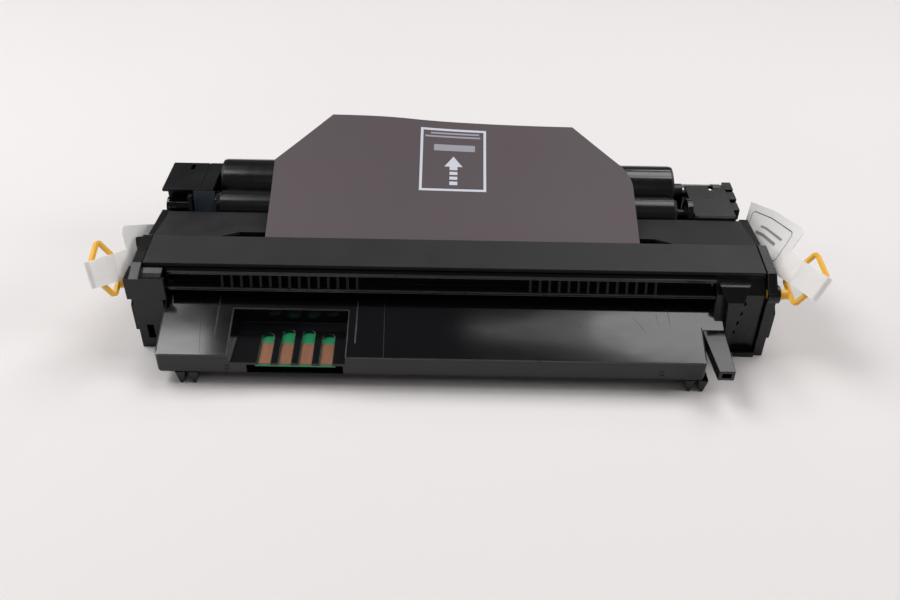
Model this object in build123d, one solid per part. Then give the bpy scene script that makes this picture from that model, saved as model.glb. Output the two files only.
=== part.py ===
from build123d import *
import math
import os

# Toner cartridge, lying with its drum side up and back.
# Millimetres. X runs along the rollers, Y away from the chip side, Z up.
# The origin is under the middle of the whole, on the surface that it stands on.

os.makedirs("parts", exist_ok=True)

# Fits shared by all pieces
RUNNING = 0.05
SEAT = 0.2
NIP = 0.3
PASSING = 0.8

# Rollers
DRUM_Y = 61.5
DRUM_Z = 41.5
DRUM_R = 15.0
DRUM_TUBE_WALL = 1.0
DRUM_LEFT = -133.5
DRUM_RIGHT = 124.5
DRUM_COLLAR_T = 1.4
DRUM_PLUG = 7.0
DEV_R = 9.2
DEV_LEFT = -132.0
DEV_RIGHT = 123.0
DEV_SEAL_T = 1.7
CHARGE_R = 5.0
CHARGE_ANGLE = -110.0
ROLLER_END = 121.5
DRUM_SHAFT_R = 3.0
DEV_SHAFT_R = 3.0
SUPPLY_SHAFT_R = 2.5
CHARGE_SHAFT_R = 2.5
AGITATOR_SHAFT_R = 3.0
BUSH_WALL = 2.0

# Gear train on the left end
MODULE = 0.8
DRUM_TEETH = 25
IDLER_TEETH = 22
DEV_TEETH = 19
SUPPLY_TEETH = 26
AGITATOR_TEETH = 44
PRESSURE_ANGLE = 20.0
BACKLASH = 0.14
GEAR_WIDTH = 7.0
GEAR_GAP = 1.3
PLATE_GAP = 2.1
PLATE_T = 2.0
SUPPLY_ANGLE = 220.0
AGITATOR_ANGLE = 196.0
IDLER_STUD_R = 2.0

# Walls and main housing
WALL = 2.5
END_WALL = 3.0
HOPPER_LEFT = -137.0
HOPPER_RIGHT = 134.0
FLOOR_Z = 3.0
FRONT_WALL_Y = -29.5
LEDGE_Z = 45.5
END_BOSS_R = 8.7
LIP_FORWARD = 7.6
LIP_DROP = 1.2
PLUG_BACK = 13.5
PLUG_DROP = 8.2
PLUG_R = 6.5

# Rib channel under the cover
LIP_TOP_Z = 43.8
LIP_LOW_Z = 36.0
LIP_T = 1.6
LIP_TOP_DEPTH = 3.0
LIP_LOW_DEPTH = 6.0
RIB_T = 1.2
RIB_PITCH = 4.94
RIB_COUNT = 15
RIB_LEFT_X = -118.9
RIB_RIGHT_X = 39.0

# Inner lid and doctor blade
LID_Z = 38.2
LID_T = 2.0
RAIL_Y = 7.5
RAIL_Z = 41.0
RAIL_WIDTH = 6.5
DOCTOR_T = 0.5
DOCTOR_REACH = 10.0
DOCTOR_INSET = 12.5
DOCTOR_ANGLE = 195.0
DOCTOR_BRACKET_T = 1.0
DOCTOR_LIP = 1.8

# Front block with the chip
BLOCK_LEFT = -149.0
BLOCK_RIGHT = 127.0
BLOCK_FRONT_Y = -66.5
BLOCK_FLOOR_Z = 6.2
BLOCK_EDGE_Z = 18.7
BLOCK_SLOPE = 19.2
BLOCK_SKIN = 2.2
RECESS_LEFT = -113.0
RECESS_RIGHT = -54.0
RECESS_BACK_Y = -39.5
RECESS_FLOOR_Z = 14.7
RECESS_SLOPE = 9.0
RECESS_FLOOR_T = 1.6

# Chip board
CHIP_X = -79.3
CHIP_PITCH = 10.33
CHIP_PADS = 4
PAD_WIDTH = 6.2
PAD_LENGTH = 13.5
PAD_T = 0.3
BOARD_WIDTH = 40.5
BOARD_DEPTH = 22.0
BOARD_T = 1.0

# Feet under the front edge
FOOT_X = (-134.7, 123.6)
FOOT_PITCH = 6.6
FOOT_WIDTH = 5.2
FOOT_DEPTH = 9.0
FOOT_TIP = 1.4
FOOT_SET_BACK = 0.3

# Guide arm at the right front
ARM_RIGHT = 138.0
ARM_FRONT_Y = -76.5
ARM_TIP_Y = -47.5
ARM_SLIT = 3.2
ARM_HEIGHT = 5.6
ARM_SLOPE = 5.0
ARM_ROOT = 12.5
ARM_WALL = 1.5
ARM_HOLE_HEIGHT = 2.8
ARM_HOLE_DEPTH = 22.0

# Top cover
COVER_HALF = 159.6
COVER_FRONT_Y = -28.5
COVER_FRONT_Z = 48.0
CREASE_Y = -5.5
CREASE_Z = 49.5
COVER_REAR_Y = 27.0
COVER_REAR_Z = 44.0
COVER_T = 1.8
SLOT_LEFT = -124.0
SLOT_RIGHT = 116.0
SLOT_WIDTH = 6.0
SLOT_TAPER = 9.0

# End caps, side frame and brackets
CAP_OUTER = 165.0
SEAM_GAP = 0.5
CAP_WALL = 2.2
CAP_FRONT_Y = -38.5
CAP_REAR_Y = 31.0
HEAD_LEFT = -167.6
HEAD_LOW_Z = 32.0
HEAD_DEPTH = 6.5
RIGHT_FRAME_FRONT_Y = -34.5
RIGHT_CAP_FRONT_Y = -37.0
BRACKET_BACK_Y = 68.5
BRACKET_T = 2.0
LEFT_BRACKET_OUTER = -164.0
LEFT_BRACKET_Z = 54.4
ROOF_T = 1.5
ROOF_FORWARD = 9.0
RIGHT_BRACKET_OUTER = 157.5
RIGHT_BRACKET_INNER = 134.6
RIGHT_BRACKET_Z = 46.0
RIGHT_LUG = 5.0
PIVOT_LEFT = -163.0
PIVOT_R = 4.6
SCREW_BOSS_R = 3.4
SCREW_SHANK_R = 1.4
SCREW_HEAD_R = 2.8
CAP_SCREWS_LEFT = ((-24.0, 10.0), (-10.0, 36.0), (24.0, 12.0))
CAP_SCREWS_RIGHT = ((-17.0, 10.0), (-8.0, 36.0), (22.0, 12.0))
PEG_SIDES = 8

# Drum frame, cleaning blade and charge roller's bearings
FRAME_FLOOR_Z = 2.0
FRAME_WALL = 2.0
FRAME_END_WALL = 2.5
FRAME_LEFT = -137.9
FRAME_RIGHT = 133.0
FRAME_FRONT_TOP = 22.0
FRAME_BACK_TOP = 30.0
BLADE_T = 1.5
BLADE_BRACKET_T = 1.0
BLADE_SCREW_Z = 17.0
BLADE_LOW_Z = 22.0
SMALL_SCREW_R = 1.3
SMALL_HEAD_R = 2.5
CHARGE_BEARING_X = (-131.0, 121.5)
CHARGE_BEARING_T = 4.0
CHARGE_BEARING_HALF = 4.4
CHARGE_BEARING_DROP = 5.0
CHARGE_BEARING_RISE = 3.0
SPRING_R = 1.9
SPRING_WIRE = 0.7
SPRING_TURNS = 3
SPRING_SIDES = 6

# Lock pins with rings and tags
PIN_X = 172.0
PIN_INNER = 160.6
PIN_Y = -33.0
PIN_Z = 38.0
PIN_R = 2.6
RING_WIDTH = 19.0
RING_REACH = 21.8
RING_BAR = 2.0
TAG_T = 0.6
TAG_STRIP_WIDTH = 13.2
TAG_STRIP_LENGTH = 33.0
TAG_WIDTH = 24.0
TAG_TILT = 6.5
TAG_BAR_AT = 4.5
TAG_GAP = 0.5
RIGHT_RING = (33.0, 4.0)
LEFT_RING = (20.0, 18.0)
RIGHT_TAG_FOLD = (-12.9, 16.4)
LEFT_TAG_FOLD = (-10.3, 21.35)
RIGHT_TAG_TURN = -22.0
LEFT_TAG_TURN = -42.0
RIGHT_TAG_TOPS = ((176.5, 23.0, 50.5), (170.5, 46.0, 43.0))
LEFT_TAG_TOPS = ((-171.5, 12.0, 41.5), (-168.5, 34.0, 27.5))
RIGHT_TAG_DOWN = ((-0.30, -0.12, -0.93), (-0.13, -0.20, -0.95))
LEFT_TAG_DOWN = ((0.02, -0.40, -0.90), (0.0, -0.45, -0.88))

# Protective sheet
SHEET_LEFT = -101.0
SHEET_RIGHT = 98.5
SHEET_T = 0.4
SHEET_SLOPE_LEFT = 25.8
SHEET_SLOPE_RIGHT = 21.3
SHEET_TUCK = 13.0
SHEET_REACH = 84.5
SHEET_CORNER_X = 31.5
SHEET_CORNER_Y = 35.0
SHEET_UNDER = 0.12


# Places worked out from the sizes above

def polar(centre, radius, degrees):
    a = math.radians(degrees)
    return (centre[0] + radius * math.cos(a), centre[1] + radius * math.sin(a))


def bearing(a, b):
    return math.degrees(math.atan2(b[1] - a[1], b[0] - a[0]))


def pitch_r(teeth):
    return MODULE * teeth / 2


def third_corner(a, b, from_a, from_b):
    # The lower of the two points at these distances from a and b
    span = math.dist(a, b)
    along = (from_a**2 - from_b**2 + span**2) / (2 * span)
    off = math.sqrt(from_a**2 - along**2)
    ux, uy = (b[0] - a[0]) / span, (b[1] - a[1]) / span
    return (a[0] + along * ux + off * uy, a[1] + along * uy - off * ux)


DRUM = (DRUM_Y, DRUM_Z)
DEV = (DRUM_Y - DRUM_R - DEV_R - NIP, DRUM_Z)
SUPPLY_REACH = pitch_r(DEV_TEETH) + pitch_r(SUPPLY_TEETH)
SUPPLY = polar(DEV, SUPPLY_REACH, SUPPLY_ANGLE)
SUPPLY_R = SUPPLY_REACH - DEV_R - NIP
AGITATOR = polar(SUPPLY, pitch_r(SUPPLY_TEETH) + pitch_r(AGITATOR_TEETH), AGITATOR_ANGLE)
IDLER_A = polar(DRUM, pitch_r(DRUM_TEETH) + pitch_r(IDLER_TEETH), -90)
IDLER_B = third_corner(
    DEV, IDLER_A, pitch_r(DEV_TEETH) + pitch_r(IDLER_TEETH), 2 * pitch_r(IDLER_TEETH)
)
CHARGE = polar(DRUM, DRUM_R + CHARGE_R + NIP, CHARGE_ANGLE)

GEAR_LEFT = HOPPER_LEFT - GEAR_GAP - GEAR_WIDTH
PLATE_LEFT = GEAR_LEFT - PLATE_GAP - PLATE_T
LEFT_CAP_INNER = PLATE_LEFT - SEAT
CAP_SEAM = COVER_HALF + SEAM_GAP
INSIDE_LEFT = HOPPER_LEFT + END_WALL
INSIDE_RIGHT = HOPPER_RIGHT - END_WALL
LIP_Y = DEV[0] + LIP_FORWARD
LIP_Z = DEV[1] - DEV_R - LIP_DROP
PLUG = (AGITATOR[0] - PLUG_BACK, AGITATOR[1] - PLUG_DROP)
DOCTOR_LEFT = INSIDE_LEFT + DOCTOR_INSET
DOCTOR_RIGHT = INSIDE_RIGHT - DOCTOR_INSET
SCREW_X = (DOCTOR_LEFT + 8.0, DOCTOR_RIGHT - 8.0)
DOCTOR_SCREW_Y = RAIL_Y + 3.5
BOARD_TOP_DROP = RECESS_FLOOR_T + 0.1
FRAME_FRONT_Y = LIP_Y + 0.9
FRAME_BACK_Y = DRUM_Y + DRUM_R - NIP
BLADE_Y = FRAME_BACK_Y - FRAME_WALL - BLADE_BRACKET_T


# Helpers

def prism(outline, x_from, x_to):
    # Solid along X from an outline of (y, z) points
    face = make_face(Polyline(*outline, close=True))
    return extrude(Plane.YZ.offset(x_from) * face, amount=x_to - x_from)


def rod(x_from, x_to, centre, radius):
    face = Plane.YZ.offset(x_from) * Pos(*centre) * Circle(radius)
    return extrude(face, amount=x_to - x_from)


def peg(x_from, x_to, centre, radius):
    # Like rod with flat sides, for small bosses, screws and bushes that never turn
    face = Plane.YZ.offset(x_from) * Pos(*centre) * RegularPolygon(radius, PEG_SIDES)
    return extrude(face, amount=x_to - x_from)


def upright_peg(x, y, z_from, z_to, radius):
    return extrude(Pos(x, y, z_from) * RegularPolygon(radius, PEG_SIDES), amount=z_to - z_from)


def brick(x, y, z):
    # Box between the pairs of limits in x, y and z
    size = (x[1] - x[0], y[1] - y[0], z[1] - z[0])
    return Pos(x[0], y[0], z[0]) * Box(*size, align=(Align.MIN, Align.MIN, Align.MIN))


def save(node, shape):
    export_step(shape, f"parts/{node}.step")


# Gears

def involute(angle):
    return math.tan(angle) - angle


def gear_outline(teeth, phase):
    # Three points on each flank: root, pitch circle and tip
    pitch = pitch_r(teeth)
    base = pitch * math.cos(math.radians(PRESSURE_ANGLE))
    root = pitch - 1.25 * MODULE
    tip = pitch + MODULE
    half = math.pi / (2 * teeth) - BACKLASH / (4 * pitch)
    at_pitch = involute(math.radians(PRESSURE_ANGLE))
    flank = []
    for radius in (root, pitch, tip):
        roll = math.acos(min(1.0, base / radius))
        flank.append((radius, half + at_pitch - involute(roll)))
    points = []
    for tooth in range(teeth):
        centre = math.radians(phase) + 2 * math.pi * tooth / teeth
        for radius, spread in flank:
            points.append((radius * math.cos(centre - spread), radius * math.sin(centre - spread)))
        for radius, spread in reversed(flank):
            points.append((radius * math.cos(centre + spread), radius * math.sin(centre + spread)))
    return points


def gear(teeth, centre, phase, bore_r):
    face = make_face(Polyline(*gear_outline(teeth, phase), close=True)) - Circle(bore_r)
    return extrude(Plane.YZ.offset(GEAR_LEFT) * Pos(*centre) * face, amount=GEAR_WIDTH)


def mesh_phase(a, b, teeth_a, teeth_b, phase_a):
    # Phase of gear b so that its gap meets a tooth of gear a on the line of centres
    line = bearing(a, b)
    return line + 180 + 180 / teeth_b - (phase_a - line) * teeth_a / teeth_b


# Toner hopper: trough, rib channel, front block, chip recess, feet and guide arm

def block_top(y):
    return BLOCK_EDGE_Z + (y - BLOCK_FRONT_Y) * math.tan(math.radians(BLOCK_SLOPE))


def recess_floor(y):
    return RECESS_FLOOR_Z + (y - BLOCK_FRONT_Y) * math.tan(math.radians(RECESS_SLOPE))


def cover_top(y):
    if y < CREASE_Y:
        return COVER_FRONT_Z + (CREASE_Z - COVER_FRONT_Z) * (y - COVER_FRONT_Y) / (CREASE_Y - COVER_FRONT_Y)
    return CREASE_Z + (COVER_REAR_Z - CREASE_Z) * (y - CREASE_Y) / (COVER_REAR_Y - CREASE_Y)


def under_cover(y):
    return cover_top(y) - COVER_T - SEAT


RAMP = [
    (AGITATOR[0] + 10.0, FLOOR_Z),
    (SUPPLY[0] + 6.0, SUPPLY[1] - SUPPLY_R - 5.5),
    (DEV[0] + 5.5, DEV[1] - DEV_R - 7.8),
    (LIP_Y, LIP_Z),
]


def trough():
    shell = [(FRONT_WALL_Y, LEDGE_Z), (FRONT_WALL_Y, FLOOR_Z)] + RAMP + [(LIP_Y, LEDGE_Z)]
    wall = [(FRONT_WALL_Y, LEDGE_Z), (FRONT_WALL_Y, FLOOR_Z)] + RAMP
    wall += [(LIP_Y, DEV[1]), (COVER_REAR_Y, under_cover(COVER_REAR_Y)), (CREASE_Y, LEDGE_Z)]
    inner = offset(make_face(Polyline(*shell, close=True)), amount=-WALL, kind=Kind.INTERSECTION)
    body = prism(shell, HOPPER_LEFT, HOPPER_RIGHT)
    body -= extrude(Plane.YZ.offset(INSIDE_LEFT) * inner, amount=INSIDE_RIGHT - INSIDE_LEFT)
    above = FRONT_WALL_Y + WALL
    body -= brick((INSIDE_LEFT, INSIDE_RIGHT), (above, LIP_Y + 5), (LIP_Z + 8, LEDGE_Z + 5))
    body -= brick((INSIDE_LEFT, INSIDE_RIGHT), (LIP_Y - WALL - 5, LIP_Y + 5), (LIP_Z, LEDGE_Z + 5))
    for x_from, x_to in ((HOPPER_LEFT, INSIDE_LEFT), (INSIDE_RIGHT, HOPPER_RIGHT)):
        above_wall = brick((x_from, x_to), (FRONT_WALL_Y - 1, LIP_Y + 5), (FLOOR_Z, LEDGE_Z + 5))
        body -= above_wall - prism(wall, x_from, x_to)
        body += rod(x_from, x_to, DEV, END_BOSS_R)
    ledge = [(above, LID_Z - 1.5), (above, LID_Z), (above + 1.6, LID_Z), (above + 1.6, LID_Z - 0.8)]
    return body + prism(ledge, INSIDE_LEFT, INSIDE_RIGHT)


def rib_channel():
    lip_left = BLOCK_LEFT + 2.0
    wing = brick((lip_left, HOPPER_LEFT), (FRONT_WALL_Y, FRONT_WALL_Y + WALL), (BLOCK_FLOOR_Z, LEDGE_Z))
    y = FRONT_WALL_Y
    channel = wing
    channel += brick((lip_left, HOPPER_RIGHT), (y - LIP_TOP_DEPTH, y), (LIP_TOP_Z, LEDGE_Z))
    channel += brick((lip_left, HOPPER_RIGHT), (y - LIP_LOW_DEPTH, y), (LIP_LOW_Z, LIP_LOW_Z + LIP_T))
    rib = [
        (y, LIP_LOW_Z + LIP_T),
        (y - LIP_LOW_DEPTH + 1.2, LIP_LOW_Z + LIP_T),
        (y - LIP_TOP_DEPTH + 0.4, LIP_TOP_Z),
        (y, LIP_TOP_Z),
    ]
    for start, count in ((RIB_LEFT_X, RIB_COUNT), (RIB_RIGHT_X, RIB_COUNT - 1)):
        for i in range(count):
            x = start + i * RIB_PITCH
            channel += prism(rib, x - RIB_T / 2, x + RIB_T / 2)
    return channel


def block_shell():
    body = prism(
        [
            (BLOCK_FRONT_Y, BLOCK_FLOOR_Z),
            (BLOCK_FRONT_Y, BLOCK_EDGE_Z),
            (FRONT_WALL_Y, block_top(FRONT_WALL_Y)),
            (FRONT_WALL_Y, BLOCK_FLOOR_Z),
        ],
        BLOCK_LEFT,
        BLOCK_RIGHT,
    )
    low = body.faces().sort_by(Axis.Z)[0].edges()
    low_edges = [e for e in low if e.center().Y < FRONT_WALL_Y - 1]
    body = fillet(low_edges, radius=3.0)
    corner = body.edges().filter_by(Axis.Z).sort_by(Axis.Y)[:2]
    return fillet(corner, radius=1.5)


def block_rooms():
    # Toner room inside the block, open to the trough behind it
    front = BLOCK_FRONT_Y + BLOCK_SKIN
    through = FRONT_WALL_Y + WALL + 1.0
    low = BLOCK_FLOOR_Z + BLOCK_SKIN

    def room(y_front, y_back, x_from, x_to):
        high_front = block_top(y_front) - BLOCK_SKIN - 0.3
        high_back = block_top(min(y_back, FRONT_WALL_Y)) - BLOCK_SKIN - 0.3
        return prism([(y_front, low), (y_front, high_front), (y_back, high_back), (y_back, low)], x_from, x_to)

    left_wall = RECESS_LEFT - BLOCK_SKIN
    right_wall = RECESS_RIGHT + BLOCK_SKIN
    rooms = room(front, through, right_wall, BLOCK_RIGHT - BLOCK_SKIN)
    rooms += room(front, through, INSIDE_LEFT, left_wall)
    rooms += room(front, FRONT_WALL_Y - 2.0, BLOCK_LEFT + BLOCK_SKIN, INSIDE_LEFT)
    rooms += room(RECESS_BACK_Y + BLOCK_SKIN, through, left_wall, right_wall)
    return rooms


def chip_recess():
    before = BLOCK_FRONT_Y - 1
    back = RECESS_BACK_Y
    pocket_top = RECESS_FLOOR_T
    pocket_low = RECESS_FLOOR_T + BOARD_T + 0.3
    board_back = BLOCK_FRONT_Y + BOARD_DEPTH + 0.4
    half = BOARD_WIDTH / 2 + SEAT
    cut = prism(
        [(before, recess_floor(before)), (back, recess_floor(back)), (back, 60), (before, 60)],
        RECESS_LEFT,
        RECESS_RIGHT,
    )
    cut += prism(
        [
            (before, recess_floor(before) - pocket_top),
            (board_back, recess_floor(board_back) - pocket_top),
            (board_back, recess_floor(board_back) - pocket_low),
            (before, recess_floor(before) - pocket_low),
        ],
        CHIP_X - half,
        CHIP_X + half,
    )
    mouth = (BLOCK_FLOOR_Z + 1.6, RECESS_FLOOR_Z - RECESS_FLOOR_T)
    cut += brick((CHIP_X - 24.5, CHIP_X + 24.0), (before, BLOCK_FRONT_Y + 8), mouth)
    for i in range(CHIP_PADS):
        x = CHIP_X + (i - (CHIP_PADS - 1) / 2) * CHIP_PITCH
        length = 19.5 if i in (0, CHIP_PADS - 1) else 22.0
        r = PAD_WIDTH / 2 + 0.2
        end = BLOCK_FRONT_Y + length - r
        z_low = recess_floor(end) - RECESS_FLOOR_T - 0.3
        cut += brick((x - r, x + r), (before, end), (RECESS_FLOOR_Z - RECESS_FLOOR_T - 0.5, 20))
        cut += Pos(x, end, z_low) * Cylinder(r, 4, align=(Align.CENTER, Align.CENTER, Align.MIN))
    return cut


def feet():
    shape = None
    for middle in FOOT_X:
        for side in (-1, 1):
            x = middle + side * FOOT_PITCH / 2
            half = FOOT_WIDTH / 2
            top = BLOCK_FLOOR_Z + 1
            fin = [(x - half, top), (x + half, top), (x + FOOT_TIP / 2, 0), (x - FOOT_TIP / 2, 0)]
            back = BLOCK_FRONT_Y + FOOT_SET_BACK + FOOT_DEPTH
            face = Plane.XZ.offset(-back) * make_face(Polyline(*fin, close=True))
            solid = extrude(face, amount=FOOT_DEPTH)
            shape = solid if shape is None else shape + solid
    return shape


def guide_arm():
    slope = math.tan(math.radians(ARM_SLOPE))
    root_y = FRONT_WALL_Y - ARM_ROOT
    plan = [
        (BLOCK_RIGHT, ARM_TIP_Y),
        (BLOCK_RIGHT + ARM_SLIT, ARM_FRONT_Y),
        (ARM_RIGHT, ARM_FRONT_Y),
        (ARM_RIGHT, root_y),
        (BLOCK_RIGHT, root_y),
    ]
    end_z = block_top(ARM_TIP_Y) - (ARM_TIP_Y - ARM_FRONT_Y) * slope
    side = [
        (ARM_FRONT_Y, end_z),
        (ARM_TIP_Y, block_top(ARM_TIP_Y)),
        (root_y, block_top(root_y)),
        (root_y, block_top(root_y) - ARM_HEIGHT - 4),
        (ARM_TIP_Y, block_top(ARM_TIP_Y) - ARM_HEIGHT),
        (ARM_FRONT_Y, end_z - ARM_HEIGHT),
    ]
    arm = extrude(make_face(Polyline(*plan, close=True)), amount=60)
    arm &= prism(side, BLOCK_RIGHT - 5, ARM_RIGHT + 5)
    root = [
        (root_y, block_top(root_y)),
        (FRONT_WALL_Y, block_top(FRONT_WALL_Y)),
        (FRONT_WALL_Y, BLOCK_FLOOR_Z + 8),
        (root_y, BLOCK_FLOOR_Z + 8),
    ]
    arm += prism(root, BLOCK_RIGHT - 1, ARM_RIGHT - 4)
    low = end_z - ARM_HEIGHT / 2 - ARM_HOLE_HEIGHT / 2
    high = low + ARM_HOLE_HEIGHT
    rise = (ARM_HOLE_DEPTH + 1) * slope
    hole = [
        (ARM_FRONT_Y - 1, high),
        (ARM_FRONT_Y + ARM_HOLE_DEPTH, high + rise),
        (ARM_FRONT_Y + ARM_HOLE_DEPTH, low + rise),
        (ARM_FRONT_Y - 1, low),
    ]
    return arm - prism(hole, BLOCK_RIGHT + ARM_SLIT + ARM_WALL, ARM_RIGHT - ARM_WALL)


def hopper():
    body = trough() + block_shell()
    body -= block_rooms()
    body += rib_channel()
    body += guide_arm()
    body -= chip_recess()
    body += feet()
    for x_from, x_to in ((HOPPER_LEFT, INSIDE_LEFT), (INSIDE_RIGHT, HOPPER_RIGHT)):
        body -= peg(x_from - 1, x_to + 1, DEV, DEV_SHAFT_R + BUSH_WALL)
        body -= peg(x_from - 1, x_to + 1, SUPPLY, SUPPLY_SHAFT_R + BUSH_WALL)
        body -= rod(x_from - 1, x_to + 1, AGITATOR, AGITATOR_SHAFT_R + RUNNING)
    body -= rod(INSIDE_RIGHT - 1, HOPPER_RIGHT + 1, PLUG, PLUG_R)
    return body


# Lids, cover and film

def screw_holes(z):
    # Clearance holes of the screws along the rail
    holes = None
    for x in SCREW_X:
        hole = upright_peg(x, DOCTOR_SCREW_Y, z - 3, z + 3, SMALL_SCREW_R + RUNNING)
        holes = hole if holes is None else holes + hole
    return holes


def inner_lid():
    front = FRONT_WALL_Y + WALL + SEAT
    top = LID_Z + LID_T
    rail_back = RAIL_Y + RAIL_WIDTH
    outline = [
        (front, LID_Z),
        (front, top),
        (RAIL_Y, top),
        (RAIL_Y, RAIL_Z),
        (rail_back, RAIL_Z),
        (rail_back, LID_Z),
    ]
    return prism(outline, INSIDE_LEFT + SEAT, INSIDE_RIGHT - SEAT) - screw_holes(RAIL_Z)


def doctor_blade():
    tip = polar(DEV, DEV_R + NIP, DOCTOR_ANGLE)
    bend = RAIL_Y + DOCTOR_REACH
    z = RAIL_Z
    outline = [
        (RAIL_Y, z),
        (bend, z),
        (tip[0], tip[1] - DOCTOR_T),
        tip,
        (bend, z + DOCTOR_T),
        (RAIL_Y, z + DOCTOR_T),
    ]
    return prism(outline, DOCTOR_LEFT, DOCTOR_RIGHT) - screw_holes(z)


def doctor_bracket():
    low = RAIL_Z + DOCTOR_T
    high = low + DOCTOR_BRACKET_T
    outline = [
        (RAIL_Y, low),
        (RAIL_Y + DOCTOR_REACH, low),
        (RAIL_Y + DOCTOR_REACH, high),
        (RAIL_Y + DOCTOR_BRACKET_T, high),
        (RAIL_Y + DOCTOR_BRACKET_T, high + DOCTOR_LIP),
        (RAIL_Y, high + DOCTOR_LIP),
    ]
    return prism(outline, DOCTOR_LEFT - 4, DOCTOR_RIGHT + 4) - screw_holes(low)


def doctor_screws():
    seat = RAIL_Z + DOCTOR_T + DOCTOR_BRACKET_T
    screws = []
    for x in SCREW_X:
        head = upright_peg(x, DOCTOR_SCREW_Y, seat, seat + 1.2, SMALL_HEAD_R)
        screws.append(head + upright_peg(x, DOCTOR_SCREW_Y, LID_Z, seat, SMALL_SCREW_R))
    return Compound(children=screws)


def top_cover():
    t = COVER_T
    outline = [
        (COVER_FRONT_Y, COVER_FRONT_Z),
        (CREASE_Y, CREASE_Z),
        (COVER_REAR_Y, COVER_REAR_Z),
        (COVER_REAR_Y, COVER_REAR_Z - t),
        (CREASE_Y, CREASE_Z - t),
        (COVER_FRONT_Y + 0.6, COVER_FRONT_Z - t),
        (COVER_FRONT_Y + 0.6, COVER_FRONT_Z - t - 0.4),
        (COVER_FRONT_Y, COVER_FRONT_Z - t - 0.4),
    ]
    cover = prism(outline, -COVER_HALF, COVER_HALF)
    seat_y = COVER_FRONT_Y + 0.6
    cover += brick((HOPPER_LEFT, HOPPER_RIGHT), (seat_y, seat_y + 0.9), (LEDGE_Z, COVER_FRONT_Z - 1.0))
    slot = [
        (SLOT_LEFT, CREASE_Y + 0.01),
        (SLOT_RIGHT, CREASE_Y + 0.01),
        (SLOT_RIGHT - SLOT_TAPER, CREASE_Y + SLOT_WIDTH),
        (SLOT_LEFT + SLOT_TAPER, CREASE_Y + SLOT_WIDTH),
    ]
    return cover - Pos(0, 0, COVER_REAR_Z - 5) * extrude(make_face(Polyline(*slot, close=True)), amount=20)


def gear_film():
    foot = (COVER_REAR_Y + 0.7, COVER_REAR_Z - 2.0)
    top = (COVER_REAR_Y + 4.0, COVER_REAR_Z + 11.0)
    outline = [foot, top, (top[0] + 0.3, top[1]), (foot[0] + 0.3, foot[1])]
    return prism(outline, GEAR_LEFT - 0.7, HOPPER_LEFT + END_WALL)


# Rollers, shafts and bushes

def sleeve(x_from, x_to, centre, outer, inner):
    return rod(x_from, x_to, centre, outer) - rod(x_from - 1, x_to + 1, centre, inner)


def drum_gear_flange(phase):
    # Gear, neck, collar on the tube's end and eight-sided plug that grips the tube inside
    bore = DRUM_SHAFT_R + RUNNING
    collar = DRUM_LEFT - DRUM_COLLAR_T
    body = peg(DRUM_LEFT, DRUM_LEFT + DRUM_PLUG, DRUM, DRUM_R - DRUM_TUBE_WALL - RUNNING)
    body += rod(collar, DRUM_LEFT, DRUM, DRUM_R - 0.4)
    body += rod(GEAR_LEFT + GEAR_WIDTH, collar, DRUM, 7.0)
    body -= rod(GEAR_LEFT, DRUM_LEFT + DRUM_PLUG + 1, DRUM, bore)
    return body + gear(DRUM_TEETH, DRUM, phase, bore)


def drum_end_flange():
    collar = DRUM_RIGHT + DRUM_COLLAR_T
    body = peg(DRUM_RIGHT - DRUM_PLUG, DRUM_RIGHT, DRUM, DRUM_R - DRUM_TUBE_WALL - RUNNING)
    body += rod(DRUM_RIGHT, collar, DRUM, DRUM_R - 0.4)
    return body - rod(DRUM_RIGHT - DRUM_PLUG - 1, collar + 1, DRUM, DRUM_SHAFT_R + RUNNING)


def bushes(node, centre, shaft_r):
    # Bush in each end wall, kept from turning by its flats
    for name, x_from, x_to in (("left", HOPPER_LEFT, INSIDE_LEFT), ("right", INSIDE_RIGHT, HOPPER_RIGHT)):
        bush = peg(x_from, x_to, centre, shaft_r + BUSH_WALL - RUNNING)
        bush -= rod(x_from - 1, x_to + 1, centre, shaft_r + RUNNING)
        save(f"{node}_bush_{name}", bush)


def charge_bearing(x):
    half = CHARGE_BEARING_HALF
    low = CHARGE[1] - CHARGE_BEARING_DROP
    high = CHARGE[1] + CHARGE_BEARING_RISE
    block = brick((x, x + CHARGE_BEARING_T), (CHARGE[0] - half, CHARGE[0] + half), (low, high))
    return block - rod(x - 1, x + CHARGE_BEARING_T + 1, CHARGE, CHARGE_SHAFT_R + RUNNING)


def charge_springs():
    # Coils under the bearings, from the frame's floor up, in straight runs
    low = FRAME_FLOOR_Z + FRAME_WALL + SPRING_WIRE / 2
    height = CHARGE[1] - CHARGE_BEARING_DROP - low - SPRING_WIRE / 2
    runs = SPRING_SIDES * SPRING_TURNS
    rise = height / runs
    springs = []
    for x in CHARGE_BEARING_X:
        foot = Vector(x + CHARGE_BEARING_T / 2, CHARGE[0], low)
        sections = []
        for i in range(runs + 1):
            a = 2 * math.pi * i / SPRING_SIDES
            out = Vector(math.cos(a), math.sin(a), 0)
            ahead = Vector(-math.sin(a), math.cos(a), rise / SPRING_R)
            place = Plane(origin=foot + out * SPRING_R + Vector(0, 0, rise * i), x_dir=out, z_dir=ahead)
            sections.append(place * Rectangle(SPRING_WIRE, SPRING_WIRE))
        springs.append(loft(sections, ruled=True))
    return Compound(children=springs)


# Drum frame with cleaning blade

def blade_screw_holes():
    holes = None
    for x in SCREW_X:
        face = Plane.XZ.offset(-FRAME_BACK_Y) * Pos(x, BLADE_SCREW_Z) * RegularPolygon(
            SMALL_SCREW_R + RUNNING, PEG_SIDES
        )
        hole = extrude(face, amount=FRAME_WALL + BLADE_BRACKET_T + 1)
        holes = hole if holes is None else holes + hole
    return holes


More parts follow.
